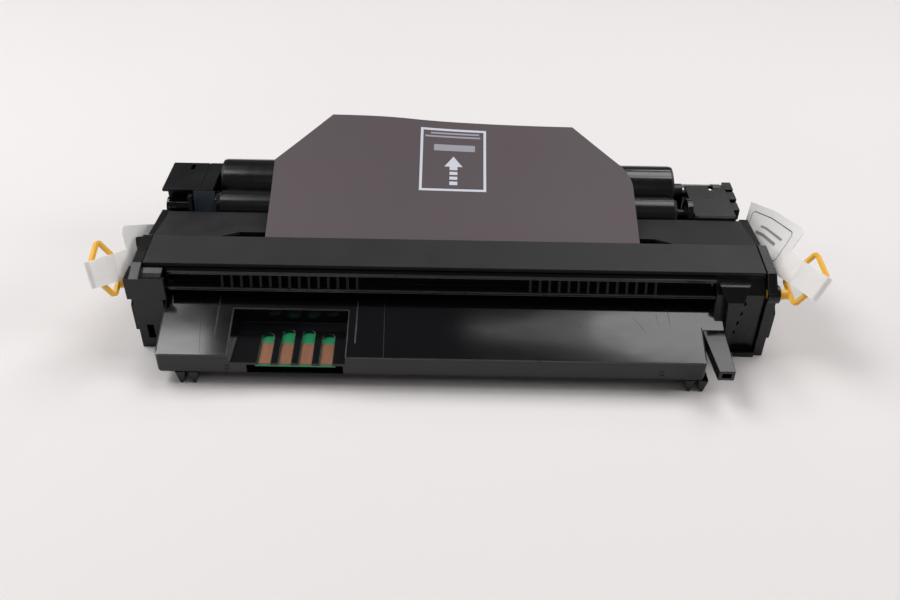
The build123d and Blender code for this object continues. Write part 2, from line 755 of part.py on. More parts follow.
def drum_frame():
    low = FRAME_FLOOR_Z
    top = FRAME_BACK_TOP
    front = FRAME_FRONT_Y
    back = FRAME_BACK_Y
    w = FRAME_WALL
    inside = (FRAME_LEFT + FRAME_END_WALL, FRAME_RIGHT - FRAME_END_WALL)
    outer = [(front, low), (front, FRAME_FRONT_TOP), (front + 6, top), (back, top), (back, low)]
    inner = [(front + w, low + w), (front + w, top + 5), (back - w, top + 5), (back - w, low + w)]
    body = prism(outer, FRAME_LEFT, FRAME_RIGHT) - prism(inner, *inside)
    body -= brick(inside, (front - 1, front + 7), (FRAME_FRONT_TOP, top + 5))
    y, z = DRUM
    cheek = [(y - 9, top - 2), (y - 5, z), (y + 5, z), (y + 9, top - 2)]
    body += prism(cheek, inside[1], FRAME_RIGHT)
    flange = DRUM_RIGHT + DRUM_COLLAR_T + NIP
    body += rod(flange, FRAME_RIGHT, DRUM, 5.0)
    body -= rod(flange - 1, FRAME_RIGHT + 1, DRUM, DRUM_SHAFT_R + RUNNING)
    return body - blade_screw_holes()


def tip_height(y):
    return DRUM[1] - math.sqrt((DRUM_R + NIP) ** 2 - (y - DRUM[0]) ** 2)


def cleaning_blade():
    y = BLADE_Y
    front = y - BLADE_T
    outline = [(front, BLADE_LOW_Z), (y, BLADE_LOW_Z), (y, tip_height(y)), (front, tip_height(front))]
    return prism(outline, -ROLLER_END - 2, ROLLER_END)


def cleaning_bracket():
    high = FRAME_BACK_TOP - 1.5
    bracket = brick((-ROLLER_END - 4, ROLLER_END + 2), (BLADE_Y, BLADE_Y + BLADE_BRACKET_T), (13.0, high))
    return bracket - blade_screw_holes()


def cleaning_screws():
    screws = []
    depth = BLADE_BRACKET_T + FRAME_WALL - 0.2
    for x in SCREW_X:
        at = Pos(x, BLADE_SCREW_Z)
        head = Plane.XZ.offset(-BLADE_Y) * at * RegularPolygon(SMALL_HEAD_R, PEG_SIDES)
        shank = Plane.XZ.offset(-(BLADE_Y + depth)) * at * RegularPolygon(SMALL_SCREW_R, PEG_SIDES)
        screws.append(extrude(head, amount=1.2) + extrude(shank, amount=depth))
    return Compound(children=screws)


# Left end: gear plate, cap, pivot and bracket

def gear_plate():
    outline = [
        (FRONT_WALL_Y + 1.5, FLOOR_Z),
        (FRONT_WALL_Y + 1.5, LEDGE_Z),
        (CREASE_Y, under_cover(CREASE_Y) - 0.3),
        (COVER_REAR_Y + 0.5, under_cover(COVER_REAR_Y) - 0.3),
        (COVER_REAR_Y + 3.0, LEFT_BRACKET_Z - 2.6),
        (DRUM[0] + 4.5, LEFT_BRACKET_Z - 2.6),
        (DRUM[0] + 4.5, FLOOR_Z),
    ]
    x_to = PLATE_LEFT + PLATE_T
    plate = prism(outline, PLATE_LEFT, x_to)
    for centre in (IDLER_A, IDLER_B):
        plate += rod(x_to, GEAR_LEFT + GEAR_WIDTH + NIP, centre, IDLER_STUD_R)
    for centre, shaft_r in ((DRUM, DRUM_SHAFT_R), (DEV, DEV_SHAFT_R)):
        plate -= peg(PLATE_LEFT - 1, x_to + 1, centre, shaft_r + PASSING)
    return plate


def cap_outline(front, z_front, inset):
    # Side view of an end cap that follows the cover's slope above the seam
    return [
        (front + inset, inset),
        (front + inset, z_front),
        (COVER_FRONT_Y + inset, COVER_FRONT_Z - inset),
        (CREASE_Y, CREASE_Z - inset),
        (CREASE_Y + 7.5, CREASE_Z - 4.7 - inset),
        (CAP_REAR_Y - inset, COVER_REAR_Z - 1.6 - inset),
        (CAP_REAR_Y - inset, inset),
    ]


def cap_under(front, drop, inset):
    # Side view of the part of a cap that stays under the cover
    return [
        (front + inset, inset),
        (front + inset, LEDGE_Z - drop - inset),
        (front + 6 + inset, LEDGE_Z - 1.2 - inset),
        (COVER_FRONT_Y - 0.8, LEDGE_Z - inset),
        (CREASE_Y, under_cover(CREASE_Y) - 0.3 - inset),
        (COVER_REAR_Y, under_cover(COVER_REAR_Y) - 0.3 - inset),
        (CAP_REAR_Y - inset, under_cover(COVER_REAR_Y) - 0.3 - inset),
        (CAP_REAR_Y - inset, inset),
    ]


def guide_lug(x_from, x_to, front):
    return prism([(front, 9), (front, 25), (front + 3, 28), (front + 7, 28), (front + 7, 9)], x_from, x_to)


def screw_bosses(body, x_from, x_to, centres):
    for centre in centres:
        body += peg(x_from, x_to, centre, SCREW_BOSS_R)
        body -= peg(x_from - CAP_WALL - 1, x_to + 1, centre, SCREW_SHANK_R + RUNNING)
    return body


def left_end_cap():
    rear = DEV[0] + 5.2
    below = DEV[1] - PIVOT_R - 1.2
    w = CAP_WALL
    front = CAP_FRONT_Y
    shelf = [(CAP_REAR_Y - 1, 0), (CAP_REAR_Y - 1, below), (rear, below), (rear, 0)]
    shelf_room = [(CAP_REAR_Y - 5, w), (CAP_REAR_Y - 5, below - w), (rear - w, below - w), (rear - w, w)]
    cap = prism(cap_outline(front, LEDGE_Z - 0.9, 0), -CAP_OUTER, -CAP_SEAM)
    cap += prism(cap_under(front, 1.8, 0), -CAP_SEAM, LEFT_CAP_INNER)
    cap += prism(shelf, -CAP_OUTER, LEFT_CAP_INNER)
    cap -= prism(cap_under(front, 1.8, w), -CAP_OUTER + w, LEFT_CAP_INNER + 1)
    cap -= prism(shelf_room, -CAP_OUTER + w, LEFT_CAP_INNER + 1)
    cap += brick((LEFT_CAP_INNER - 1, HOPPER_LEFT - 0.3), (FRONT_WALL_Y + 1.5, rear), (0, 1.8))
    cap += guide_lug(-CAP_OUTER - 3, -CAP_OUTER, front + 3.5)
    head = (HEAD_LOW_Z, LEDGE_Z - 0.9)
    cap += brick((HEAD_LEFT, -CAP_OUTER + w + 2), (front - 0.5, front + HEAD_DEPTH + 5), head)
    cap += brick((HEAD_LEFT, BLOCK_LEFT + 2.0 - NIP), (front - 0.5, front + 2), head)
    cap -= rod(HEAD_LEFT - 1, -PIN_INNER + 1, (PIN_Y, PIN_Z), PIN_R + RUNNING)
    cap -= brick((-160.6, -157.0), (front - 1, front + w + 1), (6.4, 15.2))
    return screw_bosses(cap, -CAP_OUTER + w, LEFT_CAP_INNER, CAP_SCREWS_LEFT)


def cap_screws():
    screws = []
    for side, centres in ((-1, CAP_SCREWS_LEFT), (1, CAP_SCREWS_RIGHT)):
        for centre in centres:
            ends = sorted((side * CAP_OUTER, side * (CAP_OUTER + 1.4)))
            shank = sorted((side * (CAP_OUTER - 13), side * CAP_OUTER))
            screws.append(peg(*ends, centre, SCREW_HEAD_R) + peg(*shank, centre, SCREW_SHANK_R))
    return Compound(children=screws)


def developer_pivot():
    body = rod(PIVOT_LEFT, LEFT_CAP_INNER, DEV, PIVOT_R)
    body += rod(PIVOT_LEFT, PIVOT_LEFT + 2.8, DEV, PIVOT_R + 0.5)
    return body - rod(PIVOT_LEFT - 1, LEFT_CAP_INNER + 1, DEV, DEV_SHAFT_R + RUNNING)


def left_bracket():
    # Bracket with a roof that runs on over the drum's gear
    front = DEV[0] + PIVOT_R + 0.9
    top = LEFT_BRACKET_Z
    back = BRACKET_BACK_Y
    outer_x = LEFT_BRACKET_OUTER
    t = BRACKET_T
    flat = DRUM[0] + 2
    side = [(front, 0), (front, top), (flat, top), (back, top - 6), (back, 0)]
    inner = [(front + t, t), (front + t, top - t), (flat - 0.8, top - t), (back - t, top - 7.2), (back - t, t)]
    body = prism(side, outer_x, LEFT_CAP_INNER) - prism(inner, outer_x + t, LEFT_CAP_INNER + 1)
    roof_x = DRUM_LEFT - DRUM_COLLAR_T - 0.9
    roof_y = (front - ROOF_FORWARD, flat)
    seam = (PLATE_LEFT + 6.0, PLATE_LEFT + 6.6)
    body += brick((outer_x, roof_x), roof_y, (top - ROOF_T, top))
    body -= brick(seam, (roof_y[0] - 1, roof_y[1] + 1), (top - 0.5, top + 1))
    body += peg(outer_x + t, outer_x + 6, DRUM, DRUM_SHAFT_R + 2.2)
    body -= rod(outer_x + t, outer_x + 8, DRUM, DRUM_SHAFT_R + RUNNING)
    body -= brick((PLATE_LEFT - 4.0, PLATE_LEFT - 1.4), (56.0, 61.6), (top - t - 1, top + 1))
    body += brick((outer_x - 1.4, outer_x), (front + 6, back - 4), (top - 12, top - 7))
    return body


# Right end: side frame with corbel, cap and bracket

def right_frame():
    left = HOPPER_RIGHT + 0.8
    w = CAP_WALL
    x_to = CAP_SEAM - 0.1
    front = RIGHT_FRAME_FRONT_Y
    outline = cap_under(front, 7.5, 0)[:-2] + [(COVER_REAR_Y - 0.2, 0)]
    outline[5] = (COVER_REAR_Y - 0.2, under_cover(COVER_REAR_Y) - 0.3)
    inner = [
        (front + w, w),
        (front + w, LEDGE_Z - 8),
        (front + 6 + w, LEDGE_Z - 1.4 - w),
        (CREASE_Y, under_cover(CREASE_Y) - 0.3 - w),
        (COVER_REAR_Y - 0.2 - w, under_cover(COVER_REAR_Y) - 0.3 - w),
        (COVER_REAR_Y - 0.2 - w, w),
    ]
    body = prism(outline, left, x_to) - prism(inner, left + w, x_to + 1)
    body += brick((149.5, x_to), (front - 4, front + 1), (0, 3))
    body += corbel(front)
    for centre in CAP_SCREWS_RIGHT:
        body += peg(left + w, x_to, centre, SCREW_BOSS_R)
        body -= peg(left + w, x_to + 1, centre, SCREW_SHANK_R + RUNNING)
    return body


def corbel(front):
    # Spout under the cover with a tapering post and a toothed edge below it
    top = Plane.XY.offset(LEDGE_Z - 1.5) * make_face(
        Polyline((135.5, front + 3), (152.4, front + 3), (150.5, front - 1), (135.5, front - 1), close=True)
    )
    lip = Plane.XY.offset(LEDGE_Z - 8.5) * make_face(
        Polyline((139.5, front + 3), (149.0, front + 3), (148.0, front - 5.5), (139.5, front - 5.5), close=True)
    )
    shape = loft([lip, top])
    post = [(139.5, LEDGE_Z - 8.5), (148.0, LEDGE_Z - 8.5), (144.0, 8.0), (142.4, 8.0)]
    post_face = Plane.XZ.offset(-(front + 0.5)) * make_face(Polyline(*post, close=True))
    shape += extrude(post_face, amount=6.0)
    for i in range(4):
        z = 12.0 + 6.2 * i
        x = 144.0 + (z - 8.0) * 4.0 / (LEDGE_Z - 16.5)
        tooth = [(x - 1, z), (x + 3.4, z + 3.4), (x + 3.0, z + 1.0), (x + 0.2, z - 2.2)]
        tooth_face = Plane.XZ.offset(-(front + 0.5)) * make_face(Polyline(*tooth, close=True))
        shape += extrude(tooth_face, amount=3.0)
    return shape


def right_end_cap():
    w = CAP_WALL
    left = CAP_SEAM + 0.2
    front = RIGHT_CAP_FRONT_Y
    cap = prism(cap_outline(front, LEDGE_Z - 4.5, 0), left, CAP_OUTER)
    cap -= prism(cap_outline(front, LEDGE_Z - 4.9, w), left - 1, CAP_OUTER - w)
    cap += guide_lug(CAP_OUTER, CAP_OUTER + 3, front + 4)
    cap += rod(left, CAP_OUTER + 1.5, (PIN_Y, PIN_Z), PIN_R + 2.2)
    cap -= rod(left - 1, CAP_OUTER + 3, (PIN_Y, PIN_Z), PIN_R + RUNNING)
    for centre in CAP_SCREWS_RIGHT:
        cap += peg(left, CAP_OUTER - w, centre, SCREW_BOSS_R)
        cap -= peg(left - 1, CAP_OUTER + 1, centre, SCREW_SHANK_R + RUNNING)
    return cap


def right_bracket():
    front = COVER_REAR_Y + 0.5
    top = RIGHT_BRACKET_Z
    t = BRACKET_T
    left = RIGHT_BRACKET_INNER
    right = RIGHT_BRACKET_OUTER
    side = [
        (front, 0),
        (front, top - 1.2),
        (front + 1.2, top),
        (BRACKET_BACK_Y - 7, top),
        (BRACKET_BACK_Y - 2, top - 2),
        (BRACKET_BACK_Y, top - 7),
        (BRACKET_BACK_Y, 0),
    ]
    inner = [
        (front + t, t),
        (front + t, top - t),
        (BRACKET_BACK_Y - 7.4, top - t),
        (BRACKET_BACK_Y - t, top - 7.5),
        (BRACKET_BACK_Y - t, t),
    ]
    body = prism(side, left, right) - prism(inner, left + t, right - t)
    body += peg(right - t - 5, right - t, DRUM, DRUM_SHAFT_R + 2.2)
    body -= rod(left - 1, right - t, DRUM, DRUM_SHAFT_R + RUNNING)
    body -= brick((148.0, 150.8), (56.5, 61.5), (top - t - 1, top + 1))
    for i, drop in enumerate((2.6, 1.2, 0.4)):
        y_from = front + 12 + i * 9.5
        body += brick((right, right + RIGHT_LUG), (y_from, y_from + 8.2), (top - 9, top - drop))
    return body


def bias_contact():
    # Thin brass strip on the hopper's right wall that joins two shaft ends
    x = HOPPER_RIGHT + 0.15
    outline = [
        (SUPPLY[0] - 4, SUPPLY[1] + 2),
        (SUPPLY[0] + 1, SUPPLY[1] - 4),
        (DEV[0] + 3, DEV[1] - 4),
        (DEV[0] + 3, DEV[1] + 3),
        (DEV[0] - 4, DEV[1] + 3),
    ]
    return prism(outline, x, x + 0.35)


# Pins, tags and sheet

def ring_frame(side, lean, roll):
    # Plane of a pull ring: x along its inner bar, y out along its legs
    a = math.radians(lean)
    b = math.radians(roll)
    bar = Vector(0, math.cos(b), math.sin(b))
    out = Vector(side * math.sin(a), -math.cos(a) * math.sin(b), math.cos(a) * math.cos(b))
    origin = Vector(side * PIN_X, PIN_Y, PIN_Z + 1.4)
    return Plane(origin=origin, x_dir=bar, z_dir=bar.cross(out))


def lock_pin(side, lean, roll):
    ends = sorted((side * PIN_INNER, side * PIN_X))
    stub = rod(*ends, (PIN_Y, PIN_Z), PIN_R)
    centre = Pos(0, RING_REACH / 2)
    outer = RectangleRounded(RING_WIDTH + RING_BAR, RING_REACH + RING_BAR, 3.2)
    inner = Rectangle(RING_WIDTH - RING_BAR, RING_REACH - RING_BAR)
    plane = ring_frame(side, lean, roll)
    loop = extrude(plane * (centre * outer - centre * inner), amount=RING_BAR / 2, both=True)
    return stub + loop


def tag_plane(side, lean, roll, fold, turn):
    # Plane across the tag's fold: x along the strip, y across it, z out of the card
    ring = ring_frame(side, lean, roll)
    a = math.radians(turn)
    tilt = math.radians(TAG_TILT)
    along = ring.x_dir * math.cos(a) + ring.y_dir * math.sin(a)
    across = ring.z_dir.cross(along)
    inward = ring.z_dir * -side
    tilted = along * math.cos(tilt) + inward * math.sin(tilt)
    middle = ring.from_local_coords(Vector(*fold, 0)) + along * TAG_BAR_AT
    return Plane(origin=middle - tilted * TAG_BAR_AT, x_dir=tilted, z_dir=tilted.cross(across))


def card(*corners):
    # Flat piece of card with these corners
    return extrude(make_face(Polyline(*corners, close=True)), amount=TAG_T / 2, both=True)


def tag(side, ring, fold, turn, tops, downs):
    # Strip looped round the ring's bar, then a broad end that bends along two creases
    plane = tag_plane(side, *ring, fold, turn)
    gap = RING_BAR / 2 + TAG_GAP
    t = TAG_T
    half = TAG_STRIP_WIDTH / 2
    far = TAG_STRIP_LENGTH
    outer = [
        (-0.9, -gap - t),
        (11, -gap - t),
        (20, -t / 2),
        (far, -t / 2),
        (far, t / 2),
        (20, t / 2),
        (11, gap + t),
        (-0.9, gap + t),
    ]
    inner = [(-0.3, -gap), (11, -gap), (18.6, 0), (11, gap), (-0.3, gap)]
    across = Plane(origin=plane.origin, x_dir=plane.x_dir, z_dir=plane.y_dir * -1)
    shape = extrude(across * make_face(Polyline(*outer, close=True)), amount=half, both=True)
    shape -= extrude(across * make_face(Polyline(*inner, close=True)), amount=half + 1, both=True)
    top = plane.from_local_coords(Vector(far - 0.3, TAG_WIDTH - half, 0))
    low = plane.from_local_coords(Vector(far - 0.3, -half, 0))
    for place, down in zip(tops, downs):
        next_top = Vector(*place)
        next_low = next_top + Vector(*down).normalized() * TAG_WIDTH
        shape += card(top, next_top, low)
        shape += card(low, next_top, next_low)
        top = next_top
        low = next_low
    return shape


def sheet_section(x, slope):
    # Edge of the sheet at this x, from its tucked end to its free end
    start = Vector(x, CREASE_Y, CREASE_Z - COVER_T - SHEET_T / 2 - SHEET_UNDER)
    a = math.radians(slope)
    along = Vector(0, math.cos(a), math.sin(a))
    middle = start + along * ((SHEET_REACH - SHEET_TUCK) / 2)
    return Plane(origin=middle, x_dir=along, z_dir=(1, 0, 0)) * Rectangle(SHEET_REACH + SHEET_TUCK, SHEET_T)


def sheet_corner(x, inward, slope):
    # Cutter for a slanted corner, run on past both ends of the cut
    level = math.cos(math.radians(slope))
    far = CREASE_Y + SHEET_REACH * level
    step_x = inward * SHEET_CORNER_X
    step_y = SHEET_CORNER_Y * level
    over = 0.25
    first = (x - over * step_x, far - step_y - over * step_y)
    last = (x + step_x + over * step_x, far + over * step_y)
    outline = Polyline(first, last, (first[0], last[1]), close=True)
    return extrude(make_face(outline), amount=150)


def protective_sheet():
    # Slightly twisted, so that its left side stands steeper than its right
    sections = [sheet_section(SHEET_LEFT, SHEET_SLOPE_LEFT), sheet_section(SHEET_RIGHT, SHEET_SLOPE_RIGHT)]
    sheet = loft(sections, ruled=True)
    sheet -= sheet_corner(SHEET_LEFT, 1, SHEET_SLOPE_LEFT)
    return sheet - sheet_corner(SHEET_RIGHT, -1, SHEET_SLOPE_RIGHT)


# Chip

def on_recess(y, drop):
    return (y, recess_floor(y) - drop)


def chip_board():
    front = BLOCK_FRONT_Y + 0.3
    back = front + BOARD_DEPTH
    outline = [
        on_recess(front, BOARD_TOP_DROP),
        on_recess(back, BOARD_TOP_DROP),
        on_recess(back, BOARD_TOP_DROP + BOARD_T),
        on_recess(front, BOARD_TOP_DROP + BOARD_T),
    ]
    return prism(outline, CHIP_X - BOARD_WIDTH / 2, CHIP_X + BOARD_WIDTH / 2)


def chip_contacts():
    pads = []
    front = BLOCK_FRONT_Y + 0.8
    back = front + PAD_LENGTH
    outline = [
        on_recess(front, BOARD_TOP_DROP),
        on_recess(back, BOARD_TOP_DROP),
        on_recess(back, BOARD_TOP_DROP - PAD_T),
        on_recess(front, BOARD_TOP_DROP - PAD_T),
    ]
    for i in range(CHIP_PADS):
        x = CHIP_X + (i - (CHIP_PADS - 1) / 2) * CHIP_PITCH
        pads.append(prism(outline, x - PAD_WIDTH / 2, x + PAD_WIDTH / 2))
    return Compound(children=pads)


# Build each piece

def build_housing():
    save("toner_hopper", hopper())
    save("inner_lid", inner_lid())
    save("top_cover", top_cover())
    save("gear_film", gear_film())
    save("left_end_cap", left_end_cap())
    save("gear_plate", gear_plate())
    save("left_drum_bracket", left_bracket())
    save("developer_pivot", developer_pivot())
    save("right_side_frame", right_frame())
    save("right_end_cap", right_end_cap())
    save("right_drum_bracket", right_bracket())
    save("end_cap_screws", cap_screws())
    save("fill_plug", rod(INSIDE_RIGHT, HOPPER_RIGHT + 0.6, PLUG, PLUG_R - RUNNING))
    save("drum_frame", drum_frame())
    save("cleaning_blade", cleaning_blade())
    save("cleaning_blade_bracket", cleaning_bracket())
    save("cleaning_bracket_screws", cleaning_screws())
    save("doctor_blade", doctor_blade())
    save("doctor_blade_bracket", doctor_bracket())
    save("doctor_bracket_screws", doctor_screws())
    save("chip_board", chip_board())
    save("chip_contacts", chip_contacts())
    save("bias_contact", bias_contact())
    save("protective_sheet", protective_sheet())


def build_rollers():
    line_a = bearing(DRUM, IDLER_A)
    drum_phase = line_a
    a_phase = mesh_phase(DRUM, IDLER_A, DRUM_TEETH, IDLER_TEETH, drum_phase)
    b_phase = mesh_phase(IDLER_A, IDLER_B, IDLER_TEETH, IDLER_TEETH, a_phase)
    dev_phase = mesh_phase(IDLER_B, DEV, IDLER_TEETH, DEV_TEETH, b_phase)
    supply_phase = mesh_phase(DEV, SUPPLY, DEV_TEETH, SUPPLY_TEETH, dev_phase)
    agitator_phase = mesh_phase(SUPPLY, AGITATOR, SUPPLY_TEETH, AGITATOR_TEETH, supply_phase)

    save("photoconductor_drum", sleeve(DRUM_LEFT, DRUM_RIGHT, DRUM, DRUM_R, DRUM_R - DRUM_TUBE_WALL))
    save("drum_gear", drum_gear_flange(drum_phase))
    save("drum_end_flange", drum_end_flange())
    bracket_gap = BRACKET_T + SEAT
    drum_shaft = rod(LEFT_BRACKET_OUTER + bracket_gap, RIGHT_BRACKET_OUTER - bracket_gap, DRUM, DRUM_SHAFT_R)
    save("drum_shaft", drum_shaft)

    stud = IDLER_STUD_R + RUNNING
    save("lower_idler_gear", gear(IDLER_TEETH, IDLER_A, a_phase, stud))
    save("upper_idler_gear", gear(IDLER_TEETH, IDLER_B, b_phase, stud))

    save("developer_roller", sleeve(DEV_LEFT, DEV_RIGHT, DEV, DEV_R, DEV_SHAFT_R))
    save("developer_shaft", rod(PIVOT_LEFT + 5.0, HOPPER_RIGHT + 0.1, DEV, DEV_SHAFT_R))
    save("developer_gear", gear(DEV_TEETH, DEV, dev_phase, DEV_SHAFT_R))
    seals = []
    for x in (DEV_LEFT - SEAT - DEV_SEAL_T, DEV_RIGHT + SEAT):
        seal = peg(x, x + DEV_SEAL_T, DEV, DEV_R - 0.8)
        seals.append(seal - rod(x - 1, x + DEV_SEAL_T + 1, DEV, DEV_SHAFT_R + NIP))
    save("developer_end_seals", Compound(children=seals))
    bushes("developer", DEV, DEV_SHAFT_R)

    save("supply_roller", sleeve(-ROLLER_END - 2, ROLLER_END, SUPPLY, SUPPLY_R, SUPPLY_SHAFT_R))
    save("supply_shaft", rod(GEAR_LEFT - 0.5, HOPPER_RIGHT + 0.1, SUPPLY, SUPPLY_SHAFT_R))
    save("supply_gear", gear(SUPPLY_TEETH, SUPPLY, supply_phase, SUPPLY_SHAFT_R))
    bushes("supply", SUPPLY, SUPPLY_SHAFT_R)

    y, z = AGITATOR
    paddle = brick((-ROLLER_END - 4, ROLLER_END + 2), (y - 8, y), (z - 1, z + 1))
    save("agitator_shaft", rod(GEAR_LEFT - 0.5, HOPPER_RIGHT, AGITATOR, AGITATOR_SHAFT_R) + paddle)
    save("agitator_film", brick((-ROLLER_END - 4, ROLLER_END + 2), (y - 15.2, y - 3.6), (z + 1, z + 1.3)))
    save("agitator_gear", gear(AGITATOR_TEETH, AGITATOR, agitator_phase, AGITATOR_SHAFT_R))

    save("charge_roller", sleeve(-ROLLER_END, ROLLER_END - 2, CHARGE, CHARGE_R, CHARGE_SHAFT_R))
    charge_right = CHARGE_BEARING_X[1] + CHARGE_BEARING_T + 1
    save("charge_shaft", rod(CHARGE_BEARING_X[0] - 1, charge_right, CHARGE, CHARGE_SHAFT_R))
    save("charge_bearing_left", charge_bearing(CHARGE_BEARING_X[0]))
    save("charge_bearing_right", charge_bearing(CHARGE_BEARING_X[1]))
    save("charge_springs", charge_springs())


def build_pins():
    save("right_lock_pin", lock_pin(1, *RIGHT_RING))
    save("left_lock_pin", lock_pin(-1, *LEFT_RING))
    right = (RIGHT_TAG_FOLD, RIGHT_TAG_TURN, RIGHT_TAG_TOPS, RIGHT_TAG_DOWN)
    left = (LEFT_TAG_FOLD, LEFT_TAG_TURN, LEFT_TAG_TOPS, LEFT_TAG_DOWN)
    save("right_tag", tag(1, RIGHT_RING, *right))
    save("left_tag", tag(-1, LEFT_RING, *left))


build_housing()
build_rollers()
build_pins()
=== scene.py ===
import math

import bpy
from mathutils import Matrix, Vector


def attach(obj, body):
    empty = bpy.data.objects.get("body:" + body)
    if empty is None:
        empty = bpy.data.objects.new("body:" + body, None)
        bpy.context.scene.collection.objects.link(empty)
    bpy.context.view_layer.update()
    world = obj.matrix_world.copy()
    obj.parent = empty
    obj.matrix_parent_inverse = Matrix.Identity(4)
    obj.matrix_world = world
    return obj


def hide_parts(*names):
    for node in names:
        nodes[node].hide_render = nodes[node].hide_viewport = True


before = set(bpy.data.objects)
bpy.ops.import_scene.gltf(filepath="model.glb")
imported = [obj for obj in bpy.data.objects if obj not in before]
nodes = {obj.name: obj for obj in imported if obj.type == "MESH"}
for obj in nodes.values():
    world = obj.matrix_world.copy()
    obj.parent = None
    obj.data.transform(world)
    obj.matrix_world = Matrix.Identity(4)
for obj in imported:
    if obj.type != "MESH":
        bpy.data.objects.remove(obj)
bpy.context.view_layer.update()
scene = bpy.context.scene
scene.view_settings.view_transform = "Standard"  # plain colours, as a product photo has
print("frame loaded:", len(nodes), "nodes")


# ---- small helpers

near = 0.1  # mm: places closer than this count as one


def mm(*values):
    return Vector([v / 1000 for v in values])


def perMetre(sizeMm):
    return 1000 / sizeMm  # texture scale for a pattern of this size


def linear(hexColour):
    # sRGB hex to the linear values that the shader wants
    parts = [int(hexColour[i:i + 2], 16) / 255 for i in (1, 3, 5)]
    lin = [p / 12.92 if p <= 0.04045 else ((p + 0.055) / 1.055) ** 2.4 for p in parts]
    return (*lin, 1.0)


def addNode(tree, kind, settings=None, inputs=None, links=None):
    # one node with its settings, its constant inputs and what feeds it
    node = tree.nodes.new(kind)
    for name, value in (settings or {}).items():
        setattr(node, name, value)
    for name, value in (inputs or {}).items():
        node.inputs[name].default_value = value
    for name, socket in (links or {}).items():
        tree.links.new(socket, node.inputs[name])
    return node


def tinted(hexColour, step):
    # the same colour some steps of 255 lighter or darker
    return "#" + "".join(f"{min(255, max(0, int(hexColour[i:i + 2], 16) + step)):02x}" for i in (1, 3, 5))


def startMaterial(name, **constants):
    material = bpy.data.materials.new(name)
    material.use_nodes = True
    tree = material.node_tree
    shader = tree.nodes["Principled BSDF"]
    for socket, value in constants.items():
        shader.inputs[socket.replace("_", " ")].default_value = value
    place = addNode(tree, "ShaderNodeTexCoord").outputs["Object"]
    return material, tree, shader, place


def stretched(tree, place, sizesMm):
    # coordinates for a pattern with another size along each axis
    scale = [perMetre(s) for s in sizesMm]
    node = addNode(tree, "ShaderNodeMapping", inputs={"Scale": scale}, links={"Vector": place})
    return node.outputs["Vector"]


def noise(tree, vector, scale=1.0, detail=3.0, roughness=0.5):
    inputs = {"Scale": scale, "Detail": detail, "Roughness": roughness}
    return addNode(tree, "ShaderNodeTexNoise", inputs=inputs, links={"Vector": vector}).outputs["Fac"]


def ranged(tree, value, low, high, fromLow=0.3, fromHigh=0.7):
    inputs = {"From Min": fromLow, "From Max": fromHigh, "To Min": low, "To Max": high}
    return addNode(tree, "ShaderNodeMapRange", inputs=inputs, links={"Value": value}).outputs["Result"]


def blended(tree, factor, first, second):
    node = addNode(tree, "ShaderNodeMix", {"data_type": "RGBA"})
    colours = [s for s in node.inputs if s.type == "RGBA"]
    colours[0].default_value = linear(first)
    colours[1].default_value = linear(second)
    tree.links.new(factor, node.inputs[0])
    return [s for s in node.outputs if s.type == "RGBA"][0]


def roundedNormal(tree, radiusMm):
    # softens the sharp edges of a moulding, so that they catch the light
    return addNode(tree, "ShaderNodeBevel", {"samples": 6}, {"Radius": radiusMm / 1000}).outputs["Normal"]


def bumped(tree, shader, height, strength, depthMm, normal=None):
    links = {"Height": height}
    if normal is not None:
        links["Normal"] = normal
    inputs = {"Strength": strength, "Distance": depthMm / 1000}
    bump = addNode(tree, "ShaderNodeBump", inputs=inputs, links=links)
    tree.links.new(bump.outputs["Normal"], shader.inputs["Normal"])


# ---- materials

def makeGrainedAbs(name, dark, light, rough, bump=0.3):
    # injection moulded ABS with a spark eroded grain: matt, breaks the light into a fine sparkle
    # the real grain is about 0.2 mm, drawn 0.6 mm wide so that it shows
    material, tree, shader, place = startMaterial(name, IOR=1.53, Specular_IOR_Level=0.28)
    mottle = noise(tree, place, perMetre(14), detail=4)
    grain = noise(tree, place, perMetre(0.6), detail=2)
    tree.links.new(blended(tree, mottle, dark, light), shader.inputs["Base Color"])
    tree.links.new(ranged(tree, mottle, rough - 0.05, rough + 0.05), shader.inputs["Roughness"])
    bumped(tree, shader, grain, strength=bump, depthMm=0.15, normal=roundedNormal(tree, 0.35))
    return material


def makeGlossStyrene():
    # polished tool, black polystyrene: wet looking gloss, faint flow marks and handling scratches
    look = {
        "dark": "#08090b", "light": "#0e0f12", "gloss": (0.07, 0.12), "flowMm": (22.0, 9.0, 9.0),
        "scratchMm": (0.4, 26.0, 9.0), "scratchShare": 0.35, "bump": 0.022, "bumpDepthMm": 0.03,
        "edgeMm": 0.45,
    }
    material, tree, shader, place = startMaterial("polishedBlackStyrene", IOR=1.55, Specular_IOR_Level=0.4)
    flow = noise(tree, stretched(tree, place, look["flowMm"]), detail=4, roughness=0.6)
    cloud = noise(tree, place, perMetre(38), detail=3)
    scratch = noise(tree, stretched(tree, place, look["scratchMm"]), detail=2)
    tree.links.new(blended(tree, cloud, look["dark"], look["light"]), shader.inputs["Base Color"])
    tree.links.new(ranged(tree, flow, *look["gloss"]), shader.inputs["Roughness"])
    share = {1: look["scratchShare"]}
    both = addNode(tree, "ShaderNodeMath", {"operation": "MULTIPLY_ADD"}, share, {0: scratch, 2: flow})
    edges = roundedNormal(tree, look["edgeMm"])
    bumped(tree, shader, both.outputs[0], look["bump"], look["bumpDepthMm"], edges)
    return material


